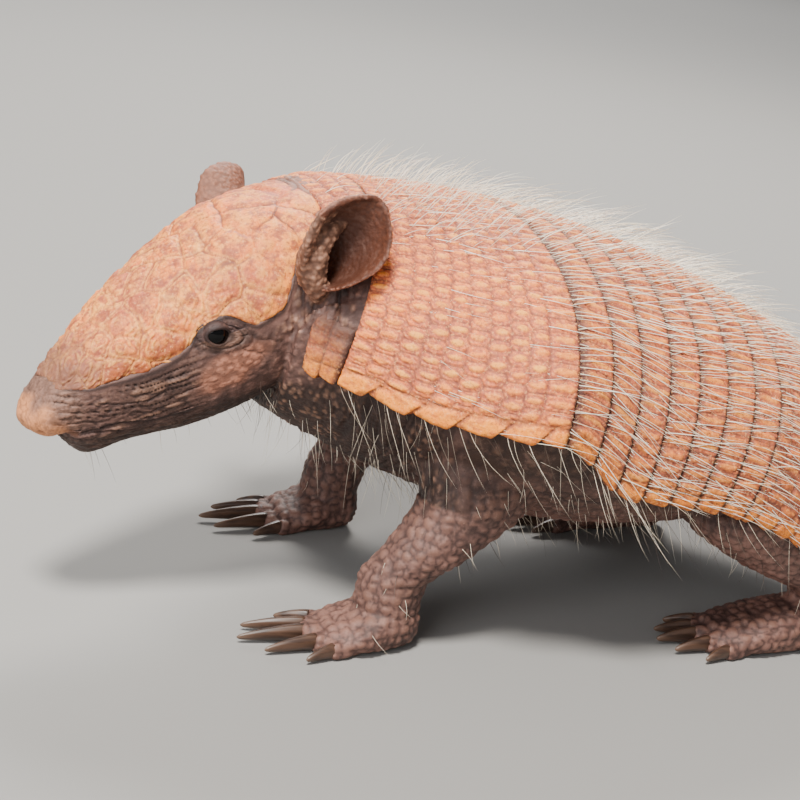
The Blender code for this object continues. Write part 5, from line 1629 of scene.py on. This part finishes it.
# %% Skin
hide = Paint("skin", (0.24, 0.16, 0.13), Roughness=0.58, IOR=1.45)
blotch, patchy, grain = hide.noise(60.0, 4.0), hide.noise(300.0, 3.0, 0.6), hide.noise(1100.0, 4.0, 0.7)
colour = hide.layers(
    hide.mix(blotch.between(0.35, 0.65), (0.200, 0.098, 0.076), (0.105, 0.052, 0.042)),
    (hide.stored("eyelid") * 0.88, (0.056, 0.029, 0.026)),
    (hide.stored("dark") * 0.90, (0.023, 0.009, 0.004)),
    (hide.stored("earskin") * 0.84, (0.108, 0.026, 0.007)),
    (hide.stored("tan") * 0.46, (0.215, 0.100, 0.064)),
    (hide.stored("rosy") * 0.75, (0.560, 0.215, 0.125)),
    (hide.stored("nose") * (0.70 + patchy * 0.40), (0.700, 0.270, 0.105)),
    (hide.stored("pale") * 0.62, (0.520, 0.270, 0.170)),
    (patchy.between(0.50, 0.68) * 0.22, (0.330, 0.180, 0.135)),
    (grain.between(0.58, 0.75) * 0.28, (0.420, 0.250, 0.190)),
    (grain.between(0.44, 0.30) * 0.40, (0.050, 0.022, 0.015)),
    ((hide.stored("groove") * 0.92).smaller(1.0), (0.016, 0.007, 0.006)))
hide.finish(skin, Base_Color=colour, Roughness=0.50 + blotch * 0.2, Normal=hide.bumps(0.60, 1600.0))

# %% Eyes, claws, bristles and floor
glass = Paint("eye", (0.01, 0.01, 0.01), Base_Color=(0.002, 0.0018, 0.002, 1), Roughness=0.08, IOR=1.36,
              Specular_IOR_Level=0.3)
glass.finish(*eyes)

horn = Paint("claws", (0.16, 0.10, 0.07), Roughness=0.40)
fibres = horn.noise(420.0, 3.0, 0.6, (0.15, 1, 1))
colour = horn.layers(horn.mix(fibres.between(0.35, 0.65), (0.036, 0.018, 0.012), (0.085, 0.043, 0.026)),
                     (horn.stored("tip").between(0.60, 1.0) * 0.5, (0.20, 0.120, 0.078)))
horn.finish(*nails, Base_Color=colour, Roughness=0.30 + fibres * 0.25)

hair = Paint("bristles", (0.80, 0.72, 0.60), Roughness=0.42)
colour = hair.layers(hair.mix(hair.stored("own"), (0.88, 0.74, 0.52), (0.96, 0.90, 0.78)),
                     ((1.0 - hair.stored("share").between(0.0, 0.18)) * 0.5, (0.50, 0.33, 0.20)))
hair.finish(back_coat, Base_Color=colour)
soft_hair = Paint("hair_below", (0.45, 0.36, 0.28), Roughness=0.45)
colour = soft_hair.mix(soft_hair.stored("own").between(0.42, 0.58), (0.060, 0.035, 0.024), (0.80, 0.69, 0.54))
soft_hair.finish(under_coat, Base_Color=colour)

bpy.ops.mesh.primitive_plane_add(size=30.0, location=(0, 0, 0))
floor = bpy.context.object
floor.name = "floor"
floor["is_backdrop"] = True
ground = Paint("floor", (0.75, 0.73, 0.70), Roughness=0.85)
ground.finish(floor, Base_Color=(0.27, 0.262, 0.25, 1))
print("materials:", len(bpy.data.materials))

# %% [markdown]
# ## Light and camera
# Soft light comes from a broad area overhead on the left, with a fainter one from the right and a
# pale surround. The camera stands low in front of the left shoulder and is tilted a little.

# %% Lights, surround and camera
LIGHTS = dict(     # place, target, size, power, colour
    key=((-0.80, -0.92, 2.03), (-0.08, 0, 0.07), 0.46, 119.0, (1.0, 0.97, 0.92)),
    fill=((-1.8, -1.6, 0.90), (-0.08, 0, 0.07), 1.4, 42.0, (0.97, 0.98, 1.0)),
    rim=((0.45, 1.30, 1.50), (-0.02, 0, 0.10), 0.6, 40.0, (1.0, 0.96, 0.90)),
    far=((0.6, 3.2, 2.4), (0.6, 3.2, 0.0), 2.4, 110.0, (1.0, 1.0, 1.0)))
for name, (place, target, size, power, colour) in LIGHTS.items():
    light = bpy.data.lights.new(name, "AREA")
    light.shape, light.size, light.energy, light.color = "DISK", size, power, colour
    lamp = shown(name, light)
    lamp.location = place
    lamp.rotation_euler = (Vector(target) - Vector(place)).to_track_quat("-Z", "Y").to_euler()

world = bpy.data.worlds.new("surround")
bpy.context.scene.world = world
world.use_nodes = True
surround = world.node_tree.nodes["Background"].inputs
surround["Color"].default_value, surround["Strength"].default_value = (0.86, 0.88, 0.90, 1), 0.34

AZIMUTH, HEIGHT, TILT = radians(-22.1), radians(17.3), radians(9.1)
DISTANCE, TARGET = 0.6671, Vector((0.0478, 0.0, 0.0708)) + Vector(SHIFT)
backwards = Vector((sin(AZIMUTH) * cos(HEIGHT), -cos(AZIMUTH) * cos(HEIGHT), sin(HEIGHT)))
right = (-backwards).cross(Vector((0, 0, 1))).normalized()
above = right.cross(-backwards)
right, above = right * cos(TILT) + above * sin(TILT), -right * sin(TILT) + above * cos(TILT)
view = bpy.data.cameras.new("camera")
view.sensor_width, view.lens, view.clip_start, view.clip_end = 36.0, 82.55, 0.01, 20.0
camera = shown("camera", view)
camera.matrix_world = Matrix((right, above, backwards)).transposed().to_4x4()
camera.location = TARGET + backwards * DISTANCE
bpy.context.scene.camera = camera
print("lights:", len(LIGHTS), "and the camera at", tuple(round(c, 3) for c in camera.location))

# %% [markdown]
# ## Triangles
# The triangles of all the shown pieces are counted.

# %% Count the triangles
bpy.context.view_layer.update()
triangles = sum(sum(len(f.vertices) - 2 for f in o.data.polygons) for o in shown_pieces())
print("triangles:", triangles)
